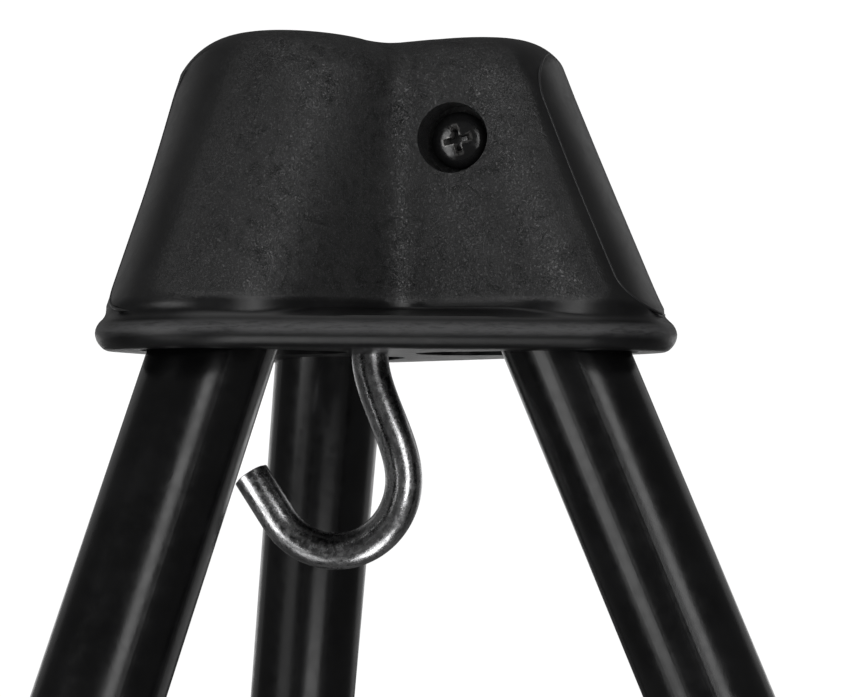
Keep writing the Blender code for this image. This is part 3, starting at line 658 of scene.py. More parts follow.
def panel_dip(turn, depth):
    """How far the end panel lies below the lobe's round end: crisp at one side, fading at the other."""
    half = panel_half(depth)
    if turn <= -half or turn >= PANEL_FAR or half == 0:
        return 0.0
    if turn < 0:
        across = 1 - (turn / half) ** 2
    else:
        across = (1 + cos(pi * turn / PANEL_FAR)) / 2
    return PANEL_DIP * across * half / PANEL_HALF


def valley_fillet(depth, drawn_in):
    """Two lobes' half width at a depth, and the radius that rounds the hollow between them."""
    wide = LOBE_RADIUS - drawn_in
    room = depth * tan(LEG_TILT) - wide / tan(SIXTY)
    return wide, min(VALLEY_RADIUS + drawn_in, VALLEY_SHARE * room * tan(SIXTY))


def lobe(depth, inset):
    """One lobe's outline at a depth, along +X, with each point's angle about the leg's axis."""
    rho = depth * tan(LEG_TILT)
    wide, fillet = valley_fillet(depth, inset(QUARTER))
    tangent = (wide + fillet) / tan(SIXTY)
    valley = []
    for i in range(SIDE_POINTS, 0, -1):
        valley.append((tangent + (rho - tangent) * i / (SIDE_POINTS + 1), wide))
    for i in range(VALLEY_POINTS):
        turn = radians(270) - radians(30) * i / (VALLEY_POINTS - 1)
        valley.append((tangent + fillet * cos(turn), wide + fillet * (1 + sin(turn))))
    points = [(x, -y, -QUARTER) for x, y in reversed(valley)]
    for i in range(-END_POINTS, END_POINTS + 1):
        turn = QUARTER * i / END_POINTS
        radius = LOBE_RADIUS - inset(turn) + swell(turn, depth) - panel_dip(turn, depth)
        points.append((rho + radius * cos(turn), radius * sin(turn), turn))
    return points + [(x, y, QUARTER) for x, y in valley[:-1]]


def valley_share(x, y):
    """0 in the middle of a lobe and 1 in the middle of a hollow."""
    return (1 - cos(3 * atan2(y, x))) / 2


def out_to_valley(x, y, depth, drawn_in):
    """A point moved straight out to the fillet between two lobes, where it lies behind it."""
    wide, fillet = valley_fillet(depth, drawn_in)
    centre = (wide + fillet) / sin(SIXTY)
    off = abs(abs(atan2(y, x)) - SIXTY)
    if off >= SIXTY - atan2(wide, (wide + fillet) / tan(SIXTY)):
        return x, y
    edge = centre * cos(off) - sqrt(fillet**2 - (centre * sin(off))**2)
    scale = max(1, edge / hypot(x, y))
    return x * scale, y * scale


def shoulder_ring(share):
    """One outline round the shoulder, from its top (0) to where it meets the wall (1)."""
    def sweep(turn):
        lean = atan(tan(LEG_TILT) * cos(turn))
        return lean, share * (QUARTER - lean)

    def drawn_in(turn):
        lean, angle = sweep(turn)
        return SHOULDER_RADIUS * (tan(radians(45) - lean / 2) - sin(angle))

    ring = []
    side_depth = TOP_DEPTH + SHOULDER_RADIUS * (1 - cos(sweep(QUARTER)[1]))
    for x, y, turn in lobe(TOP_DEPTH, drawn_in):
        angle = sweep(turn)[1]
        depth = TOP_DEPTH + SHOULDER_RADIUS * (1 - cos(angle))
        stand_out = swell(turn, depth) - panel_dip(turn, depth)
        x += stand_out * cos(turn)
        y += stand_out * sin(turn)
        x, y = out_to_valley(x, y, side_depth, drawn_in(QUARTER))
        ring.append((x, y, depth + VALLEY_DISH * cos(angle) * valley_share(x, y)))
    return ring


def lip_point(x, y, grow):
    """The point of the rounded-triangle lip in the same direction as a point of the body."""
    radius = LIP_RADIUS + grow
    azimuth = atan2(y, x)
    off = abs((azimuth + SIXTY) % THIRD - SIXTY)
    tangent = atan2(radius * sin(SIXTY), LIP_CENTRE + radius / 2)
    if off < tangent:
        distance = LIP_CENTRE * cos(off) + sqrt(radius**2 - (LIP_CENTRE * sin(off))**2)
    else:
        distance = (LIP_CENTRE / 2 + radius) / cos(SIXTY - off)
    return distance * cos(azimuth), distance * sin(azimuth)


def flare_point(x, y, share):
    """A point of the hollow curve from the foot of the wall out to the shelf."""
    grow, rim_depth = LIP_PROFILE[0]
    rim = Vector(lip_point(x, y, grow))
    foot = Vector((x, y))
    width = (rim - foot).length
    narrow, wide = FLARE_CORNER
    corner = narrow + (wide - narrow) * min(1, width / WIDE_SHELF)
    reach = min(0.5, FLARE_WIDTH / width)
    end_depth = corner + (rim_depth - corner) * reach
    place = foot.lerp(rim, reach * share**2)
    bend = 2 * share * (1 - share)
    depth = FLARE_START * (1 - share)**2 + corner * bend + end_depth * share**2
    return place.x, place.y, depth


def head_rings():
    """One lobe's outlines from the middle of its top to its base, as points of (x, y, depth)."""
    crown = shoulder_ring(0)
    rings = []
    for share in CROWN_SHARES:
        rings.append([(x * share, y * share, TOP_DEPTH + (d - TOP_DEPTH) * share**3) for x, y, d in crown])
    rings += [shoulder_ring(i / SHOULDER_STEPS) for i in range(SHOULDER_STEPS + 1)]
    for i in range(WALL_STEPS + 1):
        depth = PANEL_FULL + (FLARE_START - PANEL_FULL) * i / WALL_STEPS
        body = [(x, y, depth) for x, y, _ in lobe(depth, lambda turn: 0)]
        rings.append(body)
    for i in range(1, FLARE_STEPS + 1):
        rings.append([flare_point(x, y, i / FLARE_STEPS) for x, y, _ in body])
    for grow, depth in LIP_PROFILE:
        rings.append([(*lip_point(x, y, grow), depth) for x, y, _ in body])
    return rings


def head_loft():
    """The head's outer form, closed at its top and its base."""
    bm = bmesh.new()
    loops = []
    for ring in head_rings():
        loop = []
        for azimuth in LEGS.values():
            turn = Matrix.Rotation(radians(azimuth), 3, "Z")
            loop += [bm.verts.new(turn @ Vector((x, y, -depth))) for x, y, depth in ring]
        loops.append(loop)
    for upper, lower in zip(loops, loops[1:]):
        bridge(bm, upper, lower)
    bm.faces.new(loops[0])
    bm.faces.new(reversed(loops[-1]))
    return object_of(bm, "head_form", APEX)


def slot_cutter(leg):
    """The room a leg sweeps inside the head between standing and folded."""
    bm = bmesh.new()
    low = 2.2 * (APEX_HEIGHT - BASE_DEPTH - PIVOT_HEIGHT)
    for tilt in (-LEG_TILT, 0):
        turn = Matrix.Rotation(tilt, 3, "Y")
        for height in (SLOT_HEAD_ROOM, low):
            for i in range(SLOT_SEGMENTS):
                at = radians(360 * i / SLOT_SEGMENTS)
                bm.verts.new(turn @ Vector((SLOT_RADIUS * cos(at), SLOT_RADIUS * sin(at), height)))
    hull = bmesh.ops.convex_hull(bm, input=bm.verts)
    inside = [item for item in hull["geom_interior"] if isinstance(item, bmesh.types.BMVert)]
    bmesh.ops.delete(bm, geom=inside, context="VERTS")
    bmesh.ops.dissolve_limit(bm, angle_limit=0.001, verts=bm.verts, edges=bm.edges)
    return object_of(bm, "slot", leg_frame(leg, 0))


def mark_head(mesh):
    """Attributes for the head's material: where it is grained, where the lip's band of scuffing and painted
    highlight lies, and where dull.
    """
    names = ("grain", "scuff_and_highlight", "dull")
    grain, scuff_and_highlight, dull = [mesh.attributes.new(name, "FLOAT", "POINT").data for name in names]
    start, full, fading, end = SCUFF_AND_HIGHLIGHT_DEPTHS
    for i, vertex in enumerate(mesh.vertices):
        x, y = vertex.co.x - AXIS_X, vertex.co.y
        depth = APEX_HEIGHT - vertex.co.z
        azimuth = (atan2(y, x) + SIXTY) % THIRD - SIXTY
        along, across = hypot(x, y) * cos(azimuth), hypot(x, y) * sin(azimuth)
        turn = atan2(across, along - depth * tan(LEG_TILT))
        if turn < 0:
            off_panel = ramped(-turn, PANEL_HALF, PANEL_HALF + GRAIN_NEAR)
        else:
            off_panel = ramped(turn, 0, GRAIN_FAR)
        grain[i].value = off_panel * ramped(FLARE_START - depth, 0, GRAIN_FADE)
        # The lip's band: scuffing, and a painted highlight.
        scuff_and_highlight[i].value = min(ramped(depth, start, full), ramped(depth, end, fading))
        polish = SHELF_POLISH * max(0, 1 - abs(depth - LIP_PROFILE[0][1]) / SHELF_EDGE)
        dull[i].value = ramped(depth, DULL_START, DULL_START + DULL_FADE) - polish


def build_head():
    shell = head_loft()
    cuts = []
    outside = 2 * LOBE_RADIUS
    for leg in LEGS:
        frame_of = leg_frame(leg, 0)
        sink = rod(COUNTERBORE_RADIUS, (0, -COUNTERBORE_FLOOR, 0), (0, -outside, 0), 72)
        bore = rod(SCREW_BORE_RADIUS, (0, SCREW_BORE_END, 0), (0, -outside, 0), 40)
        cuts.append(slot_cutter(leg))
        cuts.append(object_of(sink, "counterbore", frame_of))
        cuts.append(object_of(bore, "screw_bore", frame_of))
    bore = rod(HOOK_BORE_RADIUS, (0, 0, -HOOK_BORE_TOP), (0, 0, -1.1 * BASE_DEPTH))
    cuts.append(object_of(bore, "hook_bore", APEX))
    pocket = block(
        (-1.1 * NUT_POCKET_HALF, -NUT_POCKET_HALF, -NUT_POCKET_FLOOR),
        (PIVOT_RADIUS, NUT_POCKET_HALF, -NUT_POCKET_TOP),
    )
    cuts.append(object_of(pocket, "nut_pocket", APEX))
    combined(shell, cuts)
    shell.name = "moulded_head"
    softened(shell, HEAD_EDGE, 50)
    mark_head(shell.data)
    piece(shell, "head", "head_plastic", "head_shell", angle=28)
    for leg, azimuth in LEGS.items():
        panel_bead(leg, azimuth)


def panel_bead(leg, azimuth):
    """The fine raised line down the crisp side of a lobe's panel and round its foot."""
    bend = [QUARTER * i / BEAD_STEPS for i in range(BEAD_STEPS + 1)]
    top = LINE_FULL - LINE_TOP
    foot = PANEL_BOTTOM - PANEL_FADE
    points = [on_end(-PANEL_HALF * sin(at), LINE_FULL - top * cos(at)) for at in bend]
    for i in range(1, BEAD_STRAIGHT):
        points.append(on_end(-PANEL_HALF, LINE_FULL + (PANEL_FADE - LINE_FULL) * i / BEAD_STRAIGHT))
    points += [on_end(-PANEL_HALF * cos(at), PANEL_FADE + foot * sin(at)) for at in bend]
    bm = bmesh.new()
    rings = sweep_tube(bm, points, BEAD_RADIUS, 12, taper=BEAD_TAPER)
    bm.faces.new(reversed(rings[0]))
    bm.faces.new(rings[-1])
    turned = Matrix.Rotation(radians(azimuth), 4, "Z")
    obj = object_of(bm, f"panel_bead_{leg}", APEX @ turned)
    piece(obj, "head", "head_plastic", angle=60, finish="bead_plastic")


def on_end(turn, depth):
    """A point just under the surface of a lobe's end, on its slanting wall or its shoulder."""
    shift = depth * tan(LEG_TILT)
    radius = LOBE_RADIUS + swell(turn, depth) - BEAD_SINK
    wall = Vector((shift + radius * cos(turn), radius * sin(turn), -depth))
    middle = TOP_DEPTH * tan(LEG_TILT)
    seen = atan2(wall.y, wall.x - middle)
    lean = atan(tan(LEG_TILT) * cos(seen))
    angle = acos(max(-1, 1 - (depth - TOP_DEPTH) / SHOULDER_RADIUS))
    if angle > QUARTER - lean:
        return wall
    drawn_in = SHOULDER_RADIUS * (tan(radians(45) - lean / 2) - sin(angle))
    radius = LOBE_RADIUS - drawn_in + swell(seen, depth) - BEAD_SINK * sin(angle)
    return Vector((
        middle + radius * cos(seen), radius * sin(seen), -depth - BEAD_SINK * cos(angle),
    ))


def sweep_tube(bm, points, radius, sides, taper=0):
    """A round open-ended tube along points, its ends tapered over a few of them. Returns its rings."""
    last = len(points) - 1
    rings = []
    normal = (points[1] - points[0]).normalized().orthogonal().normalized()
    for i, point in enumerate(points):
        along = (points[min(i + 1, last)] - points[max(i - 1, 0)]).normalized()
        normal = (normal - along * normal.dot(along)).normalized()
        side = along.cross(normal)
        thick = radius * min(1, (min(i, last - i) + 1) / (taper + 1))
        ring = []
        for k in range(sides):
            turn = 2 * pi * k / sides
            ring.append(bm.verts.new(point + thick * (normal * cos(turn) + side * sin(turn))))
        rings.append(ring)
    for first, second in zip(rings, rings[1:]):
        bridge(bm, first, second)
    return rings


def hook_route():
    """The wire's centreline from its threaded top to its tip."""
    shank, handle, bowl, tip = HOOK_STEPS
    start = Vector((0, 0, -BASE_DEPTH))
    end = start + Vector((HOOK_CENTRE_X + HOOK_RADIUS, 0, -HOOK_CENTRE_BELOW))
    down = Vector((0, 0, -HOOK_HANDLE))
    top = Vector((0, 0, -HOOK_TOP_DEPTH))
    points = [top.lerp(start, i / shank) for i in range(shank)]
    for i in range(handle):
        t = i / handle
        points.append(
            start * (1 - t)**3 + (start + down) * 3 * t * (1 - t)**2
            + (end - down) * 3 * t**2 * (1 - t) + end * t**3
        )
    for i in range(bowl + 1):
        turn = HOOK_SWEEP * i / bowl
        points.append(end + HOOK_RADIUS * Vector((cos(turn) - 1, 0, -sin(turn))))
    along = Vector((-sin(HOOK_SWEEP), 0, -cos(HOOK_SWEEP)))
    last = points[-1]
    return points + [last + along * HOOK_TIP_LENGTH * i / tip for i in range(1, tip + 1)]


def close_wire(bm, ring, ahead, layer):
    """Closes a wire's end at ring, slightly domed away from the section ahead."""
    centre = sum((vert.co for vert in ring), Vector()) / len(ring)
    out = (centre - sum((vert.co for vert in ahead), Vector()) / len(ring)).normalized()
    outer = ring
    for size, push in WIRE_END:
        inner = []
        for vert in ring:
            made = bm.verts.new(centre + (vert.co - centre) * size + out * push)
            made[layer] = vert[layer]
            inner.append(made)
        bridge(bm, outer, inner)
        outer = inner
    bm.faces.new(outer)


def build_hook():
    """The wire hook, with each vertex's place across and along the wire kept for its streaks."""
    points = hook_route()
    bm = bmesh.new()
    along = bm.verts.layers.float_vector.new("along")
    rings = sweep_tube(bm, points, WIRE_RADIUS, 40)
    distance = 0
    for i, ring in enumerate(rings):
        distance += (points[i] - points[max(i - 1, 0)]).length
        for k, vert in enumerate(ring):
            turn = 2 * pi * k / len(ring)
            vert[along] = (WIRE_RADIUS * cos(turn), WIRE_RADIUS * sin(turn), distance)
    close_wire(bm, rings[0], rings[1], along)
    close_wire(bm, rings[-1], rings[-2], along)
    piece(object_of(bm, "wire_hook", APEX), "head", "zinc_steel", "hook", angle=35)


def hex_nut(name, half, height, bore, frame_of):
    """A chamfered hexagon nut about Z, resting on z = 0."""
    corner = half / cos(radians(30))
    bm = bmesh.new()
    bmesh.ops.create_cone(bm, cap_ends=True, segments=6, radius1=corner, radius2=corner, depth=height)
    top = max(bm.verts, key=lambda vert: vert.co.x).co
    bm.transform(Matrix.Rotation(-atan2(top.y, top.x), 4, "Z"))
    bm.transform(up(height / 2))
    nut = object_of(bm, name, frame_of)
    slope = (corner - half) * NUT_CHAMFER
    face, rim = 0.97 * half, 1.02 * corner
    barrel = lathe([(0, height), (face, height), (rim, height - slope), (rim, slope), (face, 0), (0, 0)], 64)
    combined(nut, keeps=[object_of(barrel, "barrel", frame_of)])
    combined(nut, [object_of(rod(bore, (0, 0, -height), (0, 0, 2 * height)), "hole", frame_of)])
    return softened(nut, NUT_EDGE)


# ---- screws

def on_bevels(mesh, longest):
    """The numbers of the vertices on narrow faces, which are those that rounding the edges made."""
    found = set()
    for polygon in mesh.polygons:
        corners = [mesh.vertices[i].co for i in polygon.vertices]
        shortest = min((a - b).length for a, b in zip(corners, corners[1:] + corners[:1]))
        if shortest < longest and polygon.area < 4 * longest * longest:
            found.update(polygon.vertices)
    return found


def recess_bar(head_radius, head_height, recess, turn):
    """One tapered bar of a cross recess."""
    bm = bmesh.new()
    loops = []
    for (reach, half), height in ((RECESS_TOP, head_height * 1.4), (RECESS_FLOOR, head_height - recess)):
        loops.append([
            bm.verts.new((x * reach * head_radius, y * half * head_radius, height))
            for x, y in ((1, 1), (-1, 1), (-1, -1), (1, -1))
        ])
    top, bottom = loops
    bm.faces.new(top)
    bm.faces.new(reversed(bottom))
    bridge(bm, top, bottom)
    bm.transform(Matrix.Rotation(radians(turn), 4, "Z"))
    return object_of(bm, "bar")


def pan_screw(name, head_radius, head_height, radius, length, recess, frame_of):
    """A pan-head cross-recess screw about Z: its head stands on z = 0, its shank hangs below."""
    edge = SCREW_EDGE
    profile = [(0, head_height)]
    for i in range(1, 10):
        turn = radians(9 * i)
        dome = SCREW_SHOULDER + (1 - SCREW_SHOULDER) * cos(turn)
        profile.append((head_radius * sin(turn), head_height * dome))
    profile += [(head_radius, head_height * SCREW_SHOULDER), (head_radius, edge), (head_radius - edge, 0)]
    profile += [(radius, 0), (radius, radius * 0.6 - length), (radius * 0.35, -length), (0, -length)]
    screw = object_of(lathe(profile, 64), name)
    bars = [recess_bar(head_radius, head_height, recess, RECESS_TURN + side) for side in (0, 90)]
    combined(screw, bars)
    softened(screw, edge, 35)
    edged = on_bevels(screw.data, SCREW_BEVEL)
    wear = screw.data.attributes.new("wear", "FLOAT", "POINT").data
    for vertex in screw.data.vertices:
        on_recess = vertex.co.z > head_height * 0.6 and hypot(vertex.co.x, vertex.co.y) < 0.7 * head_radius
        wear[vertex.index].value = 1.0 if on_recess and vertex.index in edged else 0.0
    screw.data.transform(frame_of)
    return screw


def build_pivot(leg):
    """A leg's cross screw, and the finish of the plain sleeve on it."""
    seat = leg_frame(leg, 0) @ Matrix.Rotation(QUARTER, 4, "X")
    screw = pan_screw(
        f"cross_screw_{leg}", SCREW_HEAD_RADIUS, SCREW_HEAD_HEIGHT, SCREW_RADIUS,
        SCREW_END + COUNTERBORE_FLOOR + GAP, RECESS_DEPTH,
        seat @ up(COUNTERBORE_FLOOR + GAP),
    )
    piece(screw, "head", "black_steel", f"pivot_screw_{leg}")
    sleeve = frame["nodes"][f"pivot_sleeve_{leg}"]
    sleeve.data.materials.clear()
    sleeve.data.materials.append(FINISHES["zinc_steel"])


# ---- leg pieces

def tube(name, radius, bore, top, bottom, frame_of, holes=()):
    """An open tube with eased ends."""
    profile = rounded([(radius, top), (radius, bottom), (bore, bottom), (bore, top)], TUBE_EDGE, closed=True)
    obj = object_of(lathe(profile, 96, closed=True), name, frame_of)
    if holes:
        combined(obj, [object_of(hole, "hole", frame_of) for hole in holes])
    return obj


def build_upper_leg(leg):
    body = f"upper_leg_{leg}"
    place = leg_frame(leg)
    screw_at = UPPER_END + COLLAR_SCREW_ABOVE
    ends = (0, -PAST_LEG, 0), (0, PAST_LEG, 0)
    holes = [
        rod(CROSS_HOLE_RADIUS, *ends),
        rod(COLLAR_SCREW_BORE, (LOWER_BORE, 0, screw_at), (PAST_LEG, 0, screw_at)),
    ]
    outer = tube(f"outer_tube_{leg}", UPPER_RADIUS, UPPER_BORE, UPPER_ABOVE_PIVOT, UPPER_END, place, holes)
    piece(outer, body, "tube_paint", f"upper_tube_{leg}", angle=32)
    inner = UPPER_BORE - GAP
    top = UPPER_ABOVE_PIVOT + GAP
    profile = [
        (0, top + PLUG_RIM), (PLUG_RIM_RADIUS, top + PLUG_RIM), (PLUG_RIM_RADIUS, top),
        (inner, top), (inner, -PLUG_DEPTH), (0, -PLUG_DEPTH),
    ]
    plug = object_of(lathe(rounded(profile, PLUG_ROUND), 72), f"end_plug_{leg}", place)
    combined(plug, [object_of(rod(CROSS_HOLE_RADIUS, *ends), "hole", place)])
    piece(plug, body, "nylon", f"leg_plug_{leg}")
    build_collar(leg, place @ up(UPPER_END))


def grip_groove(turn):
    """One upright groove in the collar's side."""
    reach = COLLAR_RADIUS * 1.02
    groove = rod(GROOVE_RADIUS, (reach, 0, GROOVE_FROM), (reach, 0, GROOVE_TO), 20)
    groove.transform(Matrix.Rotation(radians(turn), 4, "Z"))
    return groove


def build_collar(leg, place):
    """The clamp's collar, its screw and the nut let into its boss."""
    body = f"upper_leg_{leg}"
    profile = [
        (COLLAR_END_RADIUS, COLLAR_ABOVE), (COLLAR_RADIUS, COLLAR_ABOVE - COLLAR_TAPER),
        (COLLAR_RADIUS, COLLAR_TAPER - COLLAR_BELOW), (COLLAR_END_RADIUS, -COLLAR_BELOW),
        (LOWER_RADIUS + GAP, -COLLAR_BELOW), (LOWER_RADIUS + GAP, -GAP),
        (UPPER_RADIUS + GAP, -GAP), (UPPER_RADIUS + GAP, COLLAR_ABOVE),
    ]
    profile = rounded(profile, COLLAR_ROUND, 5, closed=True, only=(0, 1, 2, 3, 4, 7))
    collar = object_of(lathe(profile, 96, closed=True), f"collar_body_{leg}", place)
    profile = [(0, BOSS_FACE), (BOSS_RADIUS, BOSS_FACE), (BOSS_RADIUS, BOSS_ROOT), (0, BOSS_ROOT)]
    boss = lathe(rounded(profile, BOSS_ROUND, 5, only=(1,)), 72)
    joins = [object_of(boss, "boss", place @ along_x(0, -BOSS_BELOW))]
    nut_top = NUT_HALF / cos(radians(30)) + GAP
    cutters = [
        block(
            (NUT_FACE - GAP, -NUT_HALF - GAP, -BOSS_BELOW - 2 * BOSS_RADIUS),
            (NUT_FACE + NUT_THICKNESS + GAP, NUT_HALF + GAP, nut_top - BOSS_BELOW),
        ),
        rod(STUD_BORE, (LOWER_BORE, 0, -BOSS_BELOW), (PAST_LEG, 0, -BOSS_BELOW)),
        rod(COLLAR_SCREW_BORE, (LOWER_BORE, 0, COLLAR_SCREW_ABOVE), (PAST_LEG, 0, COLLAR_SCREW_ABOVE), 32),
    ]
    cutters += [grip_groove(60 + 240 * i / (GRIP_GROOVES - 1)) for i in range(GRIP_GROOVES)]
    combined(collar, [object_of(cutter, "cut", place) for cutter in cutters], joins)
    softened(collar, 0.35 * MM, 45)
    piece(collar, body, "nylon", f"clamp_collar_{leg}")
    seat = place @ along_x(COLLAR_RADIUS + GAP, COLLAR_SCREW_ABOVE)
    screw = pan_screw(f"collar_screw_head_{leg}", *COLLAR_SCREW, seat)
    piece(screw, body, "black_steel", f"collar_screw_{leg}")
    seat = place @ along_x(NUT_FACE, -BOSS_BELOW)
    nut = hex_nut(f"clamp_nut_{leg}", NUT_HALF, NUT_THICKNESS, STUD_BORE, seat)
    piece(nut, body, "zinc_steel", f"collar_nut_{leg}")


def knob_form():
    """The hand knob's lobed grip, on its neck's end, with a rounded edge and a dished face."""
    face = KNOB_NECK + KNOB_THICKNESS
    edge = []
    for k in range(7):
        turn = radians(15 * k)
        edge.append((KNOB_ROUND * (1 - sin(turn)), KNOB_ROUND * (1 - cos(turn))))
    layers = [(inset, KNOB_NECK + height) for inset, height in edge]
    layers += [(inset, face - height) for inset, height in reversed(edge)]
    layers += [(inset, face - height) for inset, height in KNOB_DISH]
    steps = 20 * KNOB_LOBES
    bm = bmesh.new()
    loops = []
    for inset, height in layers:
        depth = KNOB_LOBE * max(0, 1 - inset / KNOB_LOBE_FADE)
        loop = []
        for i in range(steps):
            turn = 2 * pi * i / steps
            radius = KNOB_RADIUS - inset - depth * (1 - cos(KNOB_LOBES * turn))
            loop.append(bm.verts.new((radius * cos(turn), radius * sin(turn), height)))
        loops.append(loop)
    for first, second in zip(loops, loops[1:]):
        bridge(bm, first, second)
    bm.faces.new(loops[0])
    bm.faces.new(loops[-1])
    return bm


def build_clamp(leg):
    """The hand knob and its threaded stud, which turn together."""
    body = f"clamp_{leg}"
    place = leg_frame(leg) @ up(UPPER_END) @ along_x(0, -BOSS_BELOW)
    back = place @ up(KNOB_BACK)
    knob = object_of(knob_form(), f"hand_knob_{leg}", back)
    top = KNOB_NECK + KNOB_NECK_SINK
    profile = [(0, 0), (KNOB_NECK_RADIUS, 0), (KNOB_NECK_RADIUS, top), (0, top)]
    neck = lathe(rounded(profile, 0.7 * MM, only=(1,)), 64)
    hole = rod(STUD_RADIUS + GAP, (0, 0, -KNOB_NECK), (0, 0, STUD_END - KNOB_BACK + 2 * GAP))
    combined(knob, [object_of(hole, "hole", back)], [object_of(neck, "neck", back)])
    piece(knob, body, "nylon", f"clamp_knob_{leg}")
    profile = [(0, STUD_START), (STUD_TIP_RADIUS, STUD_START)]
    for i in range(int((STUD_END - STUD_START) / THREAD_PITCH) - 1):
        root = STUD_START + THREAD_PITCH * (i + 0.75)
        profile.append((STUD_RADIUS - THREAD_DEPTH, root))
        profile += [(STUD_RADIUS, root + THREAD_PITCH * share) for share in (0.42, 0.55)]
    profile += [(STUD_TIP_RADIUS, STUD_END), (0, STUD_END)]
    stud = object_of(lathe(profile, 40), f"threaded_stud_{leg}", place)
    piece(stud, body, "zinc_steel", f"clamp_stud_{leg}")


def build_lower_leg(leg):
    body = f"lower_leg_{leg}"
    place = leg_frame(leg)
    inner = tube(f"inner_tube_{leg}", LOWER_RADIUS, LOWER_BORE, LOWER_TOP, LOWER_END, place)
    piece(inner, body, "tube_paint", f"lower_tube_{leg}", angle=32)
    stem = LOWER_BORE - GAP
    profile = [
        (GLIDE_RADIUS, GLIDE_ABOVE), (GLIDE_RADIUS, GAP), (stem, GAP), (stem, -GLIDE_BELOW),
        (GLIDE_BORE, -GLIDE_BELOW), (GLIDE_BORE, GLIDE_ABOVE),
    ]
    glide = lathe(rounded(profile, GLIDE_ROUND, closed=True), 72, closed=True)
    obj = object_of(glide, f"guide_bush_{leg}", place @ up(LOWER_TOP))
    piece(obj, body, "nylon", f"glide_bush_{leg}")
    build_foot(leg, place @ up(-LEG_REACH))


def foot_profile():
    """The foot's side, from its rim past its rings to its tread."""
    neck = FOOT_RIM_RADIUS - FOOT_RING_DEPTH
    profile = [
        (0, FOOT_HEIGHT), (FOOT_RIM_RADIUS, FOOT_HEIGHT), (FOOT_RIM_RADIUS, FOOT_HEIGHT - 4 * MM),
        (neck, FOOT_HEIGHT - 4.8 * MM),
    ]
    for i in range(FOOT_RINGS):
        height = FOOT_HEIGHT - 8.5 * MM - FOOT_RING_FALL * i
        for out, rise in ((0, 1.5), (0.7, 0.7), (0.7, -0.7), (0, -1.5)):
            profile.append((neck + (out + 0.1 * i) * MM, height + rise * MM))
    return profile + [
        (FOOT_RIM_RADIUS + 0.4 * MM, 21 * MM), (FOOT_RIM_RADIUS + 1.6 * MM, 17 * MM),
        (FOOT_TREAD_RADIUS - 1.2 * MM, 11.5 * MM), (FOOT_TREAD_RADIUS, 10 * MM),
        (FOOT_TREAD_RADIUS, -FOOT_TREAD_RADIUS), (0, -FOOT_TREAD_RADIUS),
    ]


def build_foot(leg, place):
    """A rubber foot with ringed sides, its grooved sole cut level with the ground."""
    foot = object_of(lathe(rounded(foot_profile(), 0.9 * MM, 3), 96), f"rubber_foot_{leg}", place)
    bore = rod(LOWER_RADIUS + GAP, (0, 0, FOOT_STOP - GAP), (0, 0, 2 * FOOT_HEIGHT), 96)
    far = 60 * MM
    level = place @ Matrix.Rotation(LEG_TILT, 4, "Y")
    ground = block((-far, -far, -far), (far, far, 0))
    cuts = [object_of(bore, "bore", place), object_of(ground, "ground", level)]
    for i in range(-2, 3):
        middle = SOLE_GROOVE_PITCH * i
        low, high = middle - SOLE_GROOVE_HALF, middle + SOLE_GROOVE_HALF
        cuts.append(object_of(block((low, -far, -far), (high, far, SOLE_GROOVE)), "groove", level))
    combined(foot, cuts)
    softened(foot, 0.3 * MM, 45)
    piece(foot, f"lower_leg_{leg}", "rubber", f"foot_{leg}")


# ---- room

def build_floor():
    """A pale floor that the camera sees as white. Returns a collection that keeps lights off it."""
    bm = bmesh.new()
    bmesh.ops.create_circle(bm, cap_ends=True, segments=96, radius=FLOOR_RADIUS)
    floor = object_of(bm, "floor")
    finish = Finish("pale_floor")
    seen = finish.node("ShaderNodeLightPath").outputs["Is Camera Ray"]
    paper = finish.mix(finish.noise(3, 3), *PAPER_TONES)
    lit = finish.node("ShaderNodeBsdfDiffuse", {"Color": finish.mix(seen, paper, WHITE_FLOOR)})
    finish.feed(finish.tree.nodes["Material Output"].inputs["Surface"], lit.outputs["BSDF"])
    floor.data.materials.append(finish.material)
    apart = bpy.data.collections.new("not_the_floor")
    apart.objects.link(floor)
    apart.collection_objects[0].light_linking.link_state = "EXCLUDE"
    return apart


def build_world():
    """White to the camera and a dim, even room to everything else."""
    world = bpy.data.worlds.new("studio")
    bpy.context.scene.world = world
    world.use_nodes = True
    tree = world.node_tree
    sky = tree.nodes["Background"]
    sky.inputs["Color"].default_value = (1, 1, 1, 1)
    path = tree.nodes.new("ShaderNodeLightPath")
    strength = tree.nodes.new("ShaderNodeMapRange")
    strength.inputs["To Min"].default_value = ROOM_LIGHT
    strength.inputs["To Max"].default_value = WHITE_ROOM
    tree.links.new(path.outputs["Is Camera Ray"], strength.inputs["Value"])
    tree.links.new(strength.outputs["Result"], sky.inputs["Strength"])


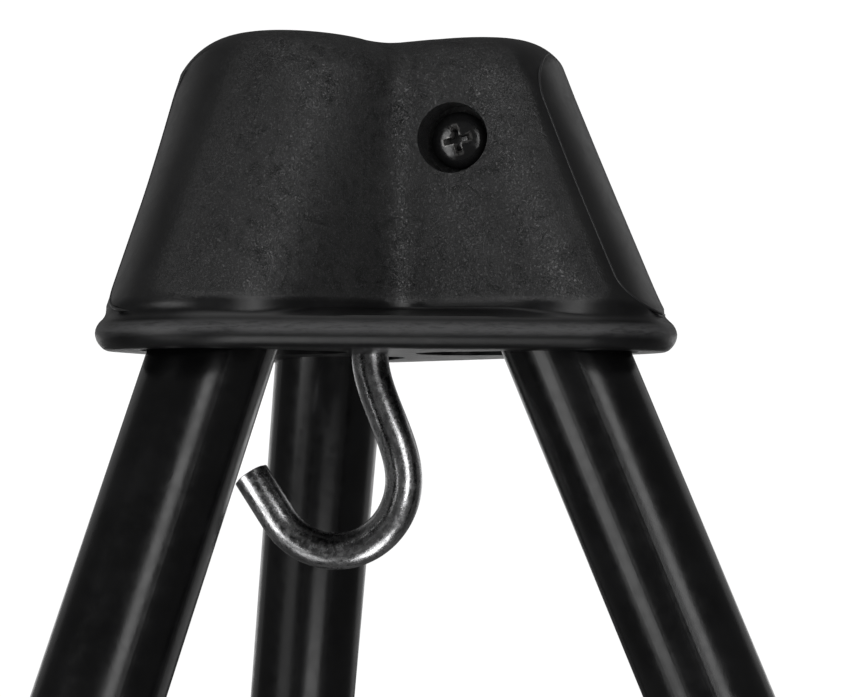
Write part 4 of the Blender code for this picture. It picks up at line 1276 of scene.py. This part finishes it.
def softbox(setting, aim, receivers, spread=pi):
    """An area light facing the stand's axis. Its azimuth is seen from above, 0 at the camera's side."""
    name, azimuth, elevation, distance, width, height, radiance = setting
    target = Vector((AXIS_X, 0, aim))
    turn = radians(azimuth) + CAMERA_TURN
    rise = radians(elevation)
    away = Vector((sin(turn) * cos(rise), -cos(turn) * cos(rise), sin(rise)))
    light = bpy.data.lights.new(name, "AREA")
    light.shape = "RECTANGLE"
    light.size = width
    light.size_y = height
    light.spread = spread
    light.energy = radiance * pi * width * height
    obj = linked(name, light)
    obj.location = target + away * distance
    obj.rotation_euler = away.to_track_quat("Z", "Y").to_euler()
    obj.visible_camera = False
    obj.light_linking.receiver_collection = receivers


def build_camera():
    """The camera at the photograph's place and angle."""
    camera = bpy.data.cameras.new("camera")
    camera.sensor_width = SENSOR_WIDTH
    camera.lens = CAMERA_LENS
    camera.clip_start = 0.01
    obj = linked("camera", camera)
    obj.location = APEX @ Vector(CAMERA_FROM_APEX)
    tilt = Matrix.Rotation(CAMERA_TURN, 4, "Z") @ Matrix.Rotation(CAMERA_PITCH, 4, "X")
    obj.rotation_euler = (tilt @ Matrix.Rotation(CAMERA_ROLL, 4, "Z")).to_euler()
    bpy.context.scene.camera = obj


FINISHES = {
    "head_plastic": head_plastic(), "bead_plastic": bead_plastic(), "tube_paint": tube_paint(),
    "black_steel": black_steel(), "zinc_steel": zinc_steel(), "nylon": nylon(), "rubber": rubber(),
}
build_head()
build_hook()
in_pocket = APEX @ up(GAP - NUT_POCKET_FLOOR)
hook_nut = hex_nut("hidden_nut", HOOK_NUT_HALF, HOOK_NUT_HEIGHT, HOOK_BORE_RADIUS, in_pocket)
piece(hook_nut, "head", "zinc_steel", "hook_nut")
for leg in LEGS:
    build_pivot(leg)
    build_upper_leg(leg)
    build_clamp(leg)
    build_lower_leg(leg)

apart = build_floor()
build_world()
for setting in SOFTBOXES:
    softbox(setting, APEX_HEIGHT - BASE_DEPTH, apart)
for setting in LOW_BOXES:
    softbox(setting, LOW_AIM, apart, LOW_SPREAD)
build_camera()
bpy.context.scene.view_settings.view_transform = "Standard"
